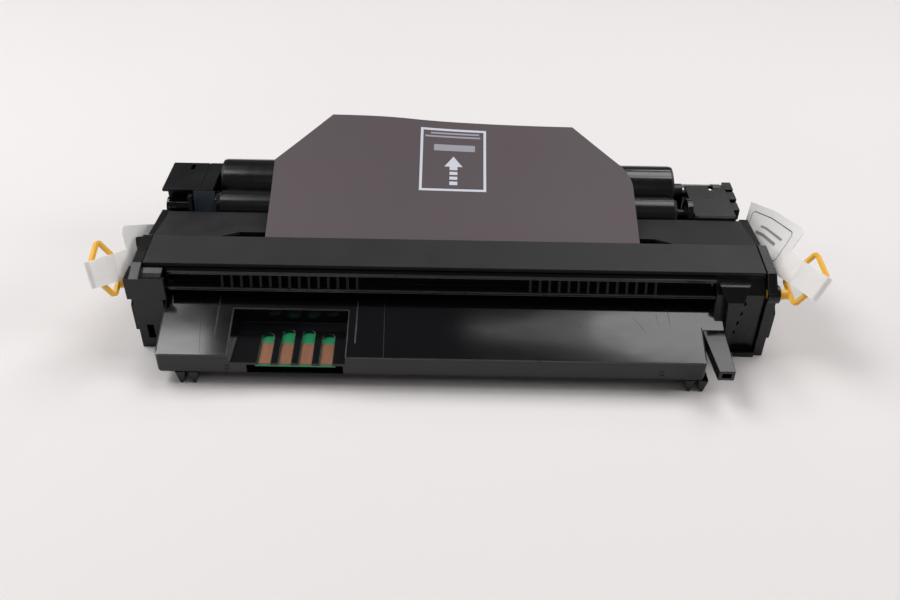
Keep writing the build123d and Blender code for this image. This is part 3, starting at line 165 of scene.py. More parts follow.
def makeSatinAbs(name, colour, rough, radius=0.4):
    # ABS from a stoned tool: even satin, slightly duller in the corners
    material, tree, shader, place = startMaterial(name, IOR=1.53, Specular_IOR_Level=0.35)
    cloud = noise(tree, place, perMetre(20), detail=3)
    fine = noise(tree, place, perMetre(0.9), detail=2)
    tree.links.new(blended(tree, cloud, colour, tinted(colour, step=9)), shader.inputs["Base Color"])
    tree.links.new(ranged(tree, cloud, rough - 0.06, rough + 0.06), shader.inputs["Roughness"])
    bumped(tree, shader, fine, strength=0.08, depthMm=0.08, normal=roundedNormal(tree, radius))
    return material


def makeEdgeHighlight():
    # rounded edges of the polished mouldings: duller than the faces, and lighter in colour than them, a
    # painted highlight, so that they draw a light line
    material, tree, shader, place = startMaterial("styreneEdgePaintedHighlight", IOR=1.59)
    edgeStreak = noise(tree, stretched(tree, place, (9.0, 2.0, 2.0)), detail=3)
    # the lighter grey here is painted highlight for the edge lines, not the colour of the black styrene
    tree.links.new(blended(tree, edgeStreak, "#1a1a1b", "#2b2b2d"), shader.inputs["Base Color"])
    tree.links.new(ranged(tree, edgeStreak, 0.26, 0.42), shader.inputs["Roughness"])
    return material


def makeDrumCoat():
    # photoconductor layer on an aluminium tube: deep, smooth and almost black, with faint broad hoops
    material, tree, shader, place = startMaterial("photoconductorCoat", IOR=1.6)
    hoops = noise(tree, stretched(tree, place, (6.0, 400, 400)), detail=3)
    tree.links.new(blended(tree, hoops, "#08090b", "#0c0d10"), shader.inputs["Base Color"])
    tree.links.new(ranged(tree, hoops, 0.15, 0.19), shader.inputs["Roughness"])
    bumped(tree, shader, hoops, strength=0.02, depthMm=0.02)
    return material


def makeRubber(name, dark, light, rough, grainMm):
    # ground rubber: satin, with the fine cross grain of the grinding wheel
    material, tree, shader, place = startMaterial(name, IOR=1.52)
    grain = noise(tree, stretched(tree, place, (grainMm, grainMm * 3, grainMm * 3)), detail=3)
    tree.links.new(blended(tree, grain, dark, light), shader.inputs["Base Color"])
    tree.links.new(ranged(tree, grain, rough - 0.02, rough + 0.02), shader.inputs["Roughness"])
    bumped(tree, shader, grain, strength=0.02, depthMm=0.02)
    return material


def makeSteel(name, colour, rough, lineMm):
    # steel, drawn or ground: bright with fine lines along its length
    material, tree, shader, place = startMaterial(name, Metallic=1.0)
    lines = noise(tree, stretched(tree, place, lineMm), 1, 3)
    tree.links.new(blended(tree, lines, tinted(colour, step=-22), colour), shader.inputs["Base Color"])
    tree.links.new(ranged(tree, lines, rough - 0.06, rough + 0.06), shader.inputs["Roughness"])
    bumped(tree, shader, lines, strength=0.08, depthMm=0.02, normal=roundedNormal(tree, 0.2))
    return material


def makeFoam():
    # open cell polyurethane foam, cells about 0.5 mm
    material, tree, shader, place = startMaterial("openCellFoam", Roughness=0.95, IOR=1.5)
    voronoi = addNode(tree, "ShaderNodeTexVoronoi", inputs={"Scale": perMetre(0.6)}, links={"Vector": place})
    cells = voronoi.outputs["Distance"]
    tree.links.new(blended(tree, cells, "#202022", "#4a4a4d"), shader.inputs["Base Color"])
    bumped(tree, shader, cells, strength=0.6, depthMm=0.3)
    return material


def makeFelt():
    # pressed black felt: soft, fibrous, no gloss
    material, tree, shader, place = startMaterial("pressedFelt", Roughness=0.95, IOR=1.5)
    fibres = noise(tree, place, perMetre(0.4), detail=5, roughness=0.7)
    tree.links.new(blended(tree, fibres, "#232120", "#373432"), shader.inputs["Base Color"])
    bumped(tree, shader, fibres, strength=0.5, depthMm=0.2)
    return material


def makeSolderMask():
    # glass fibre board with green solder mask: glossy, the weave shows faintly
    material, tree, shader, place = startMaterial("greenSolderMask", Roughness=0.28, IOR=1.55)
    weave = noise(tree, stretched(tree, place, (0.5, 0.5, 0.5)), detail=2)
    tree.links.new(blended(tree, weave, "#0c7348", "#158f5d"), shader.inputs["Base Color"])
    bumped(tree, shader, weave, strength=0.1, depthMm=0.03)
    return material


def makeCopperPads():
    # etched copper pads, dulled by handling, with fine wear lines where the contacts slide
    material, tree, shader, place = startMaterial("wornCopperPad", Metallic=0.85)
    wear = noise(tree, stretched(tree, place, (0.4, 6, 6)), detail=3)
    tree.links.new(blended(tree, wear, "#6b4938", "#946a53"), shader.inputs["Base Color"])
    tree.links.new(ranged(tree, wear, 0.38, 0.55), shader.inputs["Roughness"])
    return material


def makeYellowPom():
    # acetal, moulded yellow: waxy gloss and a little light inside it
    through = {"Subsurface_Weight": 0.12, "Subsurface_Scale": 0.002}
    material, tree, shader, place = startMaterial("yellowAcetal", IOR=1.48, **through)
    cloud = noise(tree, place, perMetre(5), detail=2)
    tree.links.new(blended(tree, cloud, "#f6b22c", "#ffcd58"), shader.inputs["Base Color"])
    tree.links.new(ranged(tree, cloud, 0.3, 0.42), shader.inputs["Roughness"])
    bumped(tree, shader, cloud, strength=0.05, depthMm=0.1, normal=roundedNormal(tree, 0.5))
    return material


def makeCard():
    # coated white card: smooth, slightly warm, a little light comes through
    through = {"Subsurface_Weight": 0.5, "Subsurface_Radius": (1, 1, 1), "Subsurface_Scale": 0.0012}
    material, tree, shader, place = startMaterial("coatedWhiteCard", IOR=1.5, **through)
    fibre = noise(tree, place, perMetre(1.2), detail=4)
    tree.links.new(blended(tree, fibre, "#f6f1ef", "#fdf9f7"), shader.inputs["Base Color"])
    tree.links.new(ranged(tree, fibre, 0.45, 0.6), shader.inputs["Roughness"])
    bumped(tree, shader, fibre, strength=0.06, depthMm=0.05)
    return material


def makeGuardFilm():
    # stiff printed polyester sheet, warm dark grey: matt lacquer with a fine tooth
    material, tree, shader, place = startMaterial("mattPolyesterSheet", IOR=1.57, Specular_IOR_Level=0.35)
    tooth = noise(tree, place, perMetre(0.5), detail=2)
    cloud = noise(tree, place, perMetre(45), detail=2)
    tree.links.new(blended(tree, cloud, "#4a4144", "#524649"), shader.inputs["Base Color"])
    tree.links.new(ranged(tree, cloud, 0.52, 0.62), shader.inputs["Roughness"])
    bumped(tree, shader, tooth, strength=0.2, depthMm=0.05)
    return material


def makeInk(name, dark, light):
    # screen printed ink, thin enough to show the tooth of what it is printed on
    material, tree, shader, place = startMaterial(name, IOR=1.5)
    tooth = noise(tree, place, perMetre(0.5), detail=2)
    tree.links.new(blended(tree, tooth, dark, light), shader.inputs["Base Color"])
    tree.links.new(ranged(tree, tooth, 0.5, 0.65), shader.inputs["Roughness"])
    return material


def makeBlueFilm():
    # thin slate blue polyester film that lets some light through
    material, tree, shader, place = startMaterial("slateBlueFilm", IOR=1.57, Alpha=0.72)
    cloud = noise(tree, stretched(tree, place, (2.5, 30, 30)), detail=2)
    tree.links.new(blended(tree, cloud, "#222b36", "#46525f"), shader.inputs["Base Color"])
    tree.links.new(ranged(tree, cloud, 0.15, 0.3), shader.inputs["Roughness"])
    return material


def makeBrass():
    # rolled spring brass
    material, tree, shader, place = startMaterial("springBrass", Metallic=1.0)
    lines = noise(tree, stretched(tree, place, (0.3, 8, 8)), detail=2)
    tree.links.new(blended(tree, lines, "#b08a48", "#cfae6a"), shader.inputs["Base Color"])
    tree.links.new(ranged(tree, lines, 0.25, 0.38), shader.inputs["Roughness"])
    return material


print("making materials")
coverAbs = makeGrainedAbs("grainedCharcoalAbs", "#1c1c1e", "#262628", rough=0.52)
glossBlack = makeGlossStyrene()
edgeHighlight = makeEdgeHighlight()
satinBlack = makeSatinAbs("satinBlackAbs", "#0a0a0b", rough=0.27, radius=0.6)
bracketBlack = makeSatinAbs("satinBracketAbs", "#0b0b0c", rough=0.32)
innerBlack = makeSatinAbs("plainBlackAbs", "#0a0a0b", rough=0.45)
gearBlack = makeSatinAbs("blackAcetal", "#131314", rough=0.38, radius=0.2)
bushAcetal = makeSatinAbs("darkBushAcetal", "#1b1b1d", rough=0.4, radius=0.2)
drumCoat = makeDrumCoat()
rollerRubber = makeRubber("groundRollerRubber", "#0f0e0e", "#151414", rough=0.22, grainMm=0.5)
bladeRubber = makeRubber("urethaneBlade", "#3d2f22", "#4c3b2b", rough=0.45, grainMm=0.8)
sheetSteel = makeSteel("galvanisedSheet", "#b9babd", rough=0.34, lineMm=(40, 0.5, 0.5))
groundSteel = makeSteel("groundShaftSteel", "#c6c6c8", rough=0.22, lineMm=(0.4, 30, 30))
brownedSteel = makeSteel("blackenedShaftSteel", "#3b3a3c", rough=0.34, lineMm=(0.4, 30, 30))  # oil blackened
screwZinc = makeSteel("zincPlatedScrew", "#a9abb0", rough=0.33, lineMm=(0.5, 0.5, 0.5))
springSteel = makeSteel("springWire", "#9c9da0", rough=0.3, lineMm=(0.3, 3, 3))
foam = makeFoam()
felt = makeFelt()
solderMask = makeSolderMask()
copperPad = makeCopperPads()
yellowPom = makeYellowPom()
card = makeCard()
guardFilm = makeGuardFilm()
paleInk = makeInk("paleScreenInk", "#c2c4cf", "#d6d8e2")
dimInk = makeInk("thinScreenInk", "#8d8b95", "#a3a2ad")
blackInk = makeInk("blackPrintInk", "#262428", "#3a383c")
greyInk = makeInk("greyPrintInk", "#8f8a8b", "#a9a4a5")
brownInk = makeInk("brownPrintInk", "#2c221d", "#453932")
blueFilm = makeBlueFilm()
brass = makeBrass()

finishes = {
    "toner_hopper": glossBlack, "inner_lid": innerBlack, "top_cover": coverAbs,
    "protective_sheet": guardFilm, "gear_film": blueFilm, "left_end_cap": satinBlack,
    "gear_plate": innerBlack, "left_drum_bracket": bracketBlack, "developer_pivot": glossBlack,
    "right_side_frame": satinBlack, "right_end_cap": satinBlack, "right_drum_bracket": bracketBlack,
    "end_cap_screws": screwZinc, "fill_plug": innerBlack, "drum_frame": bracketBlack,
    "cleaning_blade": bladeRubber, "cleaning_blade_bracket": sheetSteel,
    "cleaning_bracket_screws": screwZinc, "doctor_blade": sheetSteel, "doctor_blade_bracket": sheetSteel,
    "doctor_bracket_screws": screwZinc, "chip_board": solderMask, "chip_contacts": copperPad,
    "bias_contact": brass, "drum_shaft": groundSteel, "developer_end_seals": felt,
    "developer_bush_left": bushAcetal, "developer_bush_right": bushAcetal, "supply_bush_left": bushAcetal,
    "supply_bush_right": bushAcetal, "charge_bearing_left": bushAcetal, "charge_bearing_right": bushAcetal,
    "charge_springs": springSteel, "photoconductor_drum": drumCoat, "drum_gear": gearBlack,
    "drum_end_flange": gearBlack, "lower_idler_gear": gearBlack, "upper_idler_gear": gearBlack,
    "developer_roller": rollerRubber, "developer_shaft": brownedSteel, "developer_gear": gearBlack,
    "supply_roller": foam, "supply_shaft": groundSteel, "supply_gear": gearBlack,
    "agitator_shaft": innerBlack, "agitator_film": card, "agitator_gear": gearBlack,
    "charge_roller": rollerRubber, "charge_shaft": brownedSteel, "left_lock_pin": yellowPom,
    "right_lock_pin": yellowPom, "left_tag": card, "right_tag": card,
}


def finishNode(name, material):
    slots = nodes[name].data.materials
    slots.clear()
    slots.append(material)
    for face in nodes[name].data.polygons:
        face.material_index = 0


for name, material in finishes.items():
    finishNode(name, material)
missing = [name for name in nodes if name not in finishes]
print("nodes with a finish:", len(finishes), "without:", missing)


# ---- flat blanks: cut and rounded flat, then bent to a curve

def clearSelection():
    if bpy.context.mode != "OBJECT":
        bpy.ops.object.mode_set(mode="OBJECT")
    bpy.ops.object.select_all(action="DESELECT")


def applyAll(obj):
    clearSelection()
    obj.select_set(True)
    bpy.context.view_layer.objects.active = obj
    bpy.ops.object.transform_apply(location=True, rotation=True, scale=True)
    for modifier in list(obj.modifiers):
        bpy.ops.object.modifier_apply(modifier=modifier.name)


def flatBlank(name, x, y):
    # flat rectangle between these limits, in mm
    clearSelection()
    bpy.ops.mesh.primitive_plane_add(size=1, location=mm((x[0] + x[1]) / 2, (y[0] + y[1]) / 2, 0))
    obj = bpy.context.object
    obj.name = name
    obj.scale = ((x[1] - x[0]) / 1000, (y[1] - y[0]) / 1000, 1)
    applyAll(obj)
    return obj


def cutCorner(point, outward):
    # straight cut through a point of the active blank, what lies outward goes
    bpy.ops.object.mode_set(mode="EDIT")
    bpy.ops.mesh.select_all(action="SELECT")
    bpy.ops.mesh.bisect(plane_co=mm(*point, 0), plane_no=Vector((*outward, 0)).normalized(), clear_outer=True)
    bpy.ops.object.mode_set(mode="OBJECT")


def selectPoints(obj, test):
    clearSelection()
    obj.select_set(True)
    bpy.context.view_layer.objects.active = obj
    for face in obj.data.polygons:
        face.select = False
    for edge in obj.data.edges:
        edge.select = False
    for vertex in obj.data.vertices:
        vertex.select = test(vertex.co * 1000)
    bpy.ops.object.mode_set(mode="EDIT")
    bpy.ops.mesh.select_mode(type="VERT")


def roundCorners(obj, points, radius):
    selectPoints(obj, lambda p: any((p - Vector((*q, 0))).length < near for q in points))
    bpy.ops.mesh.bevel(offset=radius / 1000, segments=6, affect="VERTICES")
    bpy.ops.object.mode_set(mode="OBJECT")


def cutToRim(width):
    # only a rim of this width stays of the active flat blank
    bpy.ops.object.mode_set(mode="EDIT")
    bpy.ops.mesh.select_all(action="SELECT")
    bpy.ops.mesh.inset(thickness=width / 1000)
    bpy.ops.mesh.delete(type="FACE")
    bpy.ops.object.mode_set(mode="OBJECT")


def sliceBlank(obj, stepX, stepY):
    # rows and columns, so that the blank can bend; no cut within a quarter step of the far end
    low = [min(v.co[i] for v in obj.data.vertices) for i in (0, 1)]
    high = [max(v.co[i] for v in obj.data.vertices) for i in (0, 1)]
    bpy.context.view_layer.objects.active = obj
    bpy.ops.object.mode_set(mode="EDIT")
    for axis, step in ((0, stepX / 1000), (1, stepY / 1000)):
        place = low[axis] + step
        while place < high[axis] - step / 4:
            normal = (1, 0, 0) if axis == 0 else (0, 1, 0)
            bpy.ops.mesh.select_all(action="SELECT")
            bpy.ops.mesh.bisect(plane_co=(place * (1 - axis), place * axis, 0), plane_no=normal)
            place += step
    bpy.ops.mesh.select_all(action="SELECT")
    bpy.ops.mesh.remove_doubles(threshold=0.00002)
    bpy.ops.object.mode_set(mode="OBJECT")


def bendBlank(obj, place, thickness=0.0):
    # every point of the blank goes to its place on the curve, then the blank gets its thickness
    for vertex in obj.data.vertices:
        vertex.co = place(vertex.co.x * 1000, vertex.co.y * 1000)
    if thickness:
        thick = obj.modifiers.new("thickness", "SOLIDIFY")
        thick.thickness = thickness / 1000
        thick.offset = 0
        applyAll(obj)
    clearSelection()
    obj.select_set(True)
    bpy.context.view_layer.objects.active = obj
    bpy.ops.object.shade_smooth_by_angle(angle=math.radians(40))


def finishPiece(obj, material, body, slot, *replaced):
    obj.data.materials.clear()
    obj.data.materials.append(material)
    if replaced:
        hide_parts(*replaced)
    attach(obj, body)


def joined(name, parts):
    clearSelection()
    for part in parts:
        part.select_set(True)
    bpy.context.view_layer.objects.active = parts[0]
    bpy.ops.object.join()
    parts[0].name = name
    return parts[0]


# ---- guard sheet with its print

guardSheet = {
    "left": -101.0, "right": 98.5, "thickness": 0.4, "crease": (-5.5, 47.38), "slopes": (25.8, 21.3),
    "tuck": 12.5, "reach": 84.4, "rightReach": 81.9, "stepAt": -26.0, "stepWide": 9.0, "squareTo": 30.0,
    "leftCorner": ((-101.0, 53.0), (-70.5, 84.4)), "rightCorner": ((98.5, 50.5), (66.5, 81.9)),
    "footRound": 9.0, "sag": 1.7, "wave": 0.5, "waves": 1.4, "waveStart": -0.22, "slices": (6.0, 3.0),
}


def sheetPoint(x, along, above=0.0):
    # place on the sheet: x across, along it from the crease, above its face
    # its left side stands steeper, and between crease and edge it sags a little
    s = guardSheet
    share = (x - s["left"]) / (s["right"] - s["left"])
    a = math.radians(s["slopes"][0] + (s["slopes"][1] - s["slopes"][0]) * share)
    reached = max(0.0, along) / s["reach"]
    lift = above - s["sag"] * math.sin(math.pi * min(1.0, reached))
    lift += s["wave"] * reached**2 * math.sin(2 * math.pi * (share * s["waves"] + s["waveStart"]))
    y, z = s["crease"]
    return mm(x, y + along * math.cos(a) - lift * math.sin(a), z + along * math.sin(a) + lift * math.cos(a))


def sheetEdge(x, along):
    # the far edge isn't cut quite square: it comes down by some mm left of the print
    s = guardSheet
    down = (s["reach"] - s["rightReach"]) / (1 + math.exp(-(x - s["stepAt"]) / s["stepWide"]))
    return along - down * max(0.0, (along - s["squareTo"]) / (s["reach"] - s["squareTo"]))


def makeGuardSheet():
    s = guardSheet
    obj = flatBlank("guard_sheet", (s["left"], s["right"]), (-s["tuck"], s["reach"]))
    full = s["reach"] - s["rightReach"]  # sheetEdge brings the right corner down by this much
    for side, (foot, top) in ((-1, s["leftCorner"]), (1, s["rightCorner"])):
        rise = full if side > 0 else 0.0
        across = Vector((top[0] - foot[0], top[1] + rise - foot[1]))
        cutCorner(foot, (side * abs(across.y), abs(across.x)))
    roundCorners(obj, [s["rightCorner"][0]], s["footRound"])
    sliceBlank(obj, *s["slices"])
    bendBlank(obj, lambda x, y: sheetPoint(x, sheetEdge(x, y)), s["thickness"])
    finishPiece(obj, guardFilm, "housing", "sheet_grey", "protective_sheet")


sheetPrint = {
    "frame": ((-20.2, 35.2), (16.9, 79.2)), "line": 1.5, "ink": 0.04,
    "tip": (-1.4, 59.7), "headBase": 52.5, "headHalf": 5.1, "tailX": (-3.5, 0.9),
    "tail": ((50.1, 52.6), (46.7, 48.9), (43.3, 45.5), (39.5, 42.0)),
    "bars": (((-12.5, 10.6), (63.6, 68.0)), ((-14.5, 13.0), (75.3, 76.5)), ((-17.6, 13.6), (73.0, 74.2))),
    "slices": (4.0, 3.0),
}


def layPrint(obj, material=None):
    # lays a flat print on the sheet's face
    sliceBlank(obj, *sheetPrint["slices"])
    lift = guardSheet["thickness"] / 2 + sheetPrint["ink"]
    bendBlank(obj, lambda x, y: sheetPoint(x, sheetEdge(x, y), lift))
    finishPiece(obj, material or paleInk, "housing", "sheet_grey")


def makePrintFrame():
    (x0, y0), (x1, y1) = sheetPrint["frame"]
    obj = flatBlank("print_frame", (x0, x1), (y0, y1))
    cutToRim(sheetPrint["line"])
    layPrint(obj)


def makePrintArrow():
    # head: a rectangle whose far edge is drawn together to the tip, then the tail in stripes
    p = sheetPrint
    tipX, tipY = p["tip"]
    head = flatBlank("print_arrow", (tipX - p["headHalf"], tipX + p["headHalf"]), (p["headBase"], tipY))
    selectPoints(head, lambda q: q.y > tipY - near)
    bpy.ops.mesh.merge(type="CENTER")
    bpy.ops.object.mode_set(mode="OBJECT")
    stripes = [flatBlank("stripe", p["tailX"], span) for span in p["tail"]]
    layPrint(joined("print_arrow", [head] + stripes))


def makePrintBars():
    # plain bars where the real sheet has lettering
    layPrint(joined("print_bars", [flatBlank("bar", x, y) for x, y in sheetPrint["bars"]]), dimInk)


print("making the guard sheet")
makeGuardSheet()
makePrintFrame()
makePrintArrow()
makePrintBars()


# ---- card tags on the lock pins

rightTag = {
    "name": "right", "body": "right_pin", "normal": (0.8102, 0.1449, -0.568), "front": -1,
    "folds": (
        (0, (178.02, -48.89, 46.65), (190.14, -41.22, 65.89)),
        (18, (172.66, -32.03, 43.31), (184.78, -24.36, 62.55)),
        (33, (168.20, -17.99, 40.52), (181.60, -9.90, 62.60)),
        (70.7, (169.19, 20.07, 27.83), (176.90, 23.40, 53.20)),
        (95.6, (167.31, 41.1, 19.72), (170.5, 46.0, 45.20)),
    ),
    "frame": ((8.0, -3.4), (58.0, 13.4)), "frameRound": 3.0,
    "bars": (((15.0, 44.0), (6.6, 7.8)), ((19.0, 47.0), (2.6, 4.2))),
}
leftTag = {
    "name": "left", "body": "left_pin", "normal": (0.9077, -0.207, 0.3649), "front": 1,
    "folds": (
        (0, (-176.6, -51.6, 48.4), (-182.5, -41.5, 70.0)),
        (18, (-171.4, -36.2, 41.2), (-177.6, -26.0, 64.0)),
        (33, (-167.6, -23.6, 35.0), (-173.17, -12.45, 59.41)),
        (63.5, (-171.01, 2.25, 19.57), (-171.5, 12.0, 44.60)),
        (90, (-168.5, 23.07, 6.13), (-168.5, 34.0, 30.60)),
    ),
    "picture": ((17.0, 34.0), (-1.0, 11.5)), "pictureRound": 2.0,
}
tagCard = {
    "tail": -20.5, "flatFrom": 33.0, "stripHalf": 6.6, "top": 17.4, "wrap": 1.75, "wrapEnd": 21.0,
    "wrapFade": 10.0, "foldHalf": 2.5, "foldBack": 1.3, "endRound": 4.0, "thickness": 0.5,
    "line": 0.45, "ink": 0.05, "stripSlices": (1.0, 3.3), "slices": (2.5, 3.3),
}


def curveAt(points, s):
    # smooth curve through (s, point) pairs, straight from point to point in the flat part
    i = max(0, min(len(points) - 2, sum(1 for p in points if p[0] <= s) - 1))
    s1, p1 = points[i]
    s2, p2 = points[i + 1]
    s0, p0 = points[i - 1] if i > 0 else (2 * s1 - s2, p1 * 2 - p2)
    s3, p3 = points[i + 2] if i + 2 < len(points) else (2 * s2 - s1, p2 * 2 - p1)
    t = (s - s1) / (s2 - s1)
    if s >= tagCard["flatFrom"]:
        return p1.lerp(p2, t)
    m1 = (p2 - p0) * ((s2 - s1) / (s2 - s0))
    m2 = (p3 - p1) * ((s2 - s1) / (s3 - s1))
    start = (2 * t**3 - 3 * t**2 + 1) * p1 + (t**3 - 2 * t**2 + t) * m1
    return start + (3 * t**2 - 2 * t**3) * p2 + (t**3 - t**2) * m2


def tagPoint(tag, s, h, above=0.0):
    # s along the card from the fold round the ring, h across it; below zero, s runs back behind the ring
    c = tagCard
    reach = abs(s)
    wrap = c["wrap"] * max(0.0, min(1.0, (c["wrapEnd"] - reach) / c["wrapFade"]))
    if reach < c["foldHalf"]:
        # round the ring's bar
        turn = math.pi / 2 * s / c["foldHalf"]
        wrap = c["wrap"] * abs(math.sin(turn))
        reach = c["foldBack"] * (1 - math.cos(turn)) - c["foldBack"]
    low = curveAt([(f[0], Vector(f[1])) for f in tag["folds"]], reach)
    top = curveAt([(f[0], Vector(f[2])) for f in tag["folds"]], reach)
    side = tag["front"] if s >= 0 else -tag["front"]
    share = (h + c["stripHalf"]) / (c["stripHalf"] + c["top"])
    place = low.lerp(top, share) + Vector(tag["normal"]) * (side * wrap + tag["front"] * above)
    return place / 1000


def makeTag(tag):
    c = tagCard
    end = tag["folds"][-1][0]
    strip = flatBlank("strip", (c["tail"], c["flatFrom"]), (-c["stripHalf"], c["stripHalf"]))
    sliceBlank(strip, *c["stripSlices"])
    panel = flatBlank("panel", (c["flatFrom"], end), (-c["stripHalf"], c["top"]))
    roundCorners(panel, [(c["flatFrom"], c["top"])], c["endRound"])
    sliceBlank(panel, *c["slices"])
    obj = joined(tag["name"] + "_card_tag", [strip, panel])
    selectPoints(obj, lambda p: True)
    bpy.ops.mesh.remove_doubles(threshold=0.00005)
    bpy.ops.object.mode_set(mode="OBJECT")
    bendBlank(obj, lambda s, h: tagPoint(tag, s, h), c["thickness"])
    finishPiece(obj, card, tag["body"], "card_white", tag["name"] + "_tag")


def layOnTag(tag, obj, material):
    sliceBlank(obj, *tagCard["slices"])
    lift = tagCard["thickness"] / 2 + tagCard["ink"]
    bendBlank(obj, lambda s, h: tagPoint(tag, s, h, lift))
    finishPiece(obj, material, tag["body"], "card_white")


def makeTagPrint():
    # right: thin frame with round corners and plain bars for the lines of text
    (s0, h0), (s1, h1) = rightTag["frame"]
    start = tagCard["flatFrom"]
    frameLine = flatBlank("right_tag_frame", (start + s0, start + s1), (h0, h1))
    corners = [(start + s, h) for s in (s0, s1) for h in (h0, h1)]
    roundCorners(frameLine, corners, rightTag["frameRound"])
    cutToRim(tagCard["line"])
    layOnTag(rightTag, frameLine, blackInk)
    bars = [flatBlank("bar", (start + s[0], start + s[1]), h) for s, h in rightTag["bars"]]
    layOnTag(rightTag, joined("right_tag_bars", bars), greyInk)
    # left: plain dark field
    s, h = leftTag["picture"]
    field = flatBlank("left_tag_field", (start + s[0], start + s[1]), h)
    roundCorners(field, [(start + s[0], h[1])], leftTag["pictureRound"])
    layOnTag(leftTag, field, brownInk)


print("making the card tags")
makeTag(rightTag)
makeTag(leftTag)
makeTagPrint()


# ---- fine lines: moulding edges that catch the light, ribs and marks on the front block

rodShape = {"sides": 10, "endRound": 0.4, "endSegments": 2}
blockLines = {
    "frontY": -66.5, "frontZ": 18.7, "slope": 19.2, "backY": -29.5, "left": -149.0, "right": 127.0,
    "recess": (-113.0, -54.0, -39.5), "armY": -46.0, "radius": 0.5, "proud": 0.12, "short": 1.5,
    "ribs": ((-120.8, -32.2, -57.0), (-49.5, -34.6, -58.5)), "ribRadius": 0.45, "ribSink": 0.15,
    "hairRadius": 0.11, "hairSink": 0.06,
    "hairlines": (
        (-130.9, -32.5, -126.8, -65.0), (-35.8, -32.0, -34.8, -65.8), (92.1, -41.0, 97.6, -48.6),
        (104.0, -39.1, 105.2, -45.5), (110.2, -35.3, 110.8, -45.6), (62.3, -43.1, 65.5, -48.1),
    ),
}


def rodBetween(start, end, radius):
    # slim bar with rounded ends from point to point, in mm
    a, b = mm(*start), mm(*end)
    turn = (b - a).to_track_quat("Z", "Y").to_euler()
    clearSelection()
    bpy.ops.mesh.primitive_cylinder_add(
        vertices=rodShape["sides"], radius=radius / 1000, depth=(b - a).length, location=(a + b) / 2,
        rotation=turn,
    )
    obj = bpy.context.object
    applyAll(obj)
    clearSelection()
    obj.select_set(True)
    bpy.context.view_layer.objects.active = obj
    bpy.ops.object.mode_set(mode="EDIT")
    bpy.ops.mesh.select_all(action="SELECT")
    rounding = radius * rodShape["endRound"] / 1000
    bpy.ops.mesh.bevel(offset=rounding, segments=rodShape["endSegments"], affect="EDGES")
    bpy.ops.object.mode_set(mode="OBJECT")
    bpy.ops.object.shade_smooth()
    return obj


def onBlock(x, y, above=0.0):
    # a point on the front block's sloping top
    c = blockLines
    return (x, y, c["frontZ"] + (y - c["frontY"]) * math.tan(math.radians(c["slope"])) + above)


def makeBlockLines():
    c = blockLines
    r = c["radius"]
    sink = c["proud"] - r
    left, right, back = c["recess"]
    front = c["frontY"] - sink
    short = c["short"]
    rows = [
        (onBlock(c["left"] + short, front, sink), onBlock(left, front, sink)),
        (onBlock(right, front, sink), onBlock(c["right"] - short, front, sink)),
        (onBlock(left + sink, front, sink), onBlock(left + sink, back, sink)),
        (onBlock(right - sink, front, sink), onBlock(right - sink, back, sink)),
        (onBlock(left, back + sink + r, sink), onBlock(right, back + sink + r, sink)),
        (onBlock(c["left"] - sink, front + short, sink), onBlock(c["left"] - sink, c["backY"], sink)),
        (onBlock(c["right"] + sink, front + short, sink), onBlock(c["right"] + sink, c["armY"], sink)),
    ]
    parts = [rodBetween(a, b, r) for a, b in rows]
    for x, yBack, yFront in c["ribs"]:
        deep = -c["ribSink"]
        parts.append(rodBetween(onBlock(x, yBack, deep), onBlock(x, yFront, deep), c["ribRadius"]))
    for x1, y1, x2, y2 in c["hairlines"]:
        deep = -c["hairSink"]
        parts.append(rodBetween(onBlock(x1, y1, deep), onBlock(x2, y2, deep), c["hairRadius"]))
    # edges, ribs and hairlines take the lighter edge colour, a painted highlight
    finishPiece(joined("block_edge_lines", parts), edgeHighlight, "housing", "black_gloss")


channelLines = {
    "x": (-146.5, 133.8), "edges": ((-32.5, 45.5), (-32.5, 43.8), (-35.5, 37.6), (-35.5, 36.0)),
    "radius": 0.42, "proud": 0.1,
    "bracketEdge": {"x": (136.0, 156.5), "place": (28.1, 45.4), "radius": 0.6},
}


def makeChannelLines():
    c = channelLines
    sink = c["radius"] - c["proud"]
    parts = []
    for i, (y, z) in enumerate(c["edges"]):
        level = z - sink if i % 2 == 0 else z + sink
        parts.append(rodBetween((c["x"][0], y + sink, level), (c["x"][1], y + sink, level), c["radius"]))
    # the right bracket's front edge catches the light too
    b = c["bracketEdge"]
    parts.append(rodBetween((b["x"][0], *b["place"]), (b["x"][1], *b["place"]), b["radius"]))
    # these lines take the lighter edge colour too, a painted highlight
    finishPiece(joined("channel_edge_lines", parts), edgeHighlight, "housing", "black_gloss")


ejectorMarks = {
    "places": ((-113.8, 11.2), (105.2, 11.8)), "sides": 24, "radius": 1.7, "thick": 0.4,
    "rim": 0.5, "dish": 0.3, "ring": 0.6, "coreRise": 0.2,
}


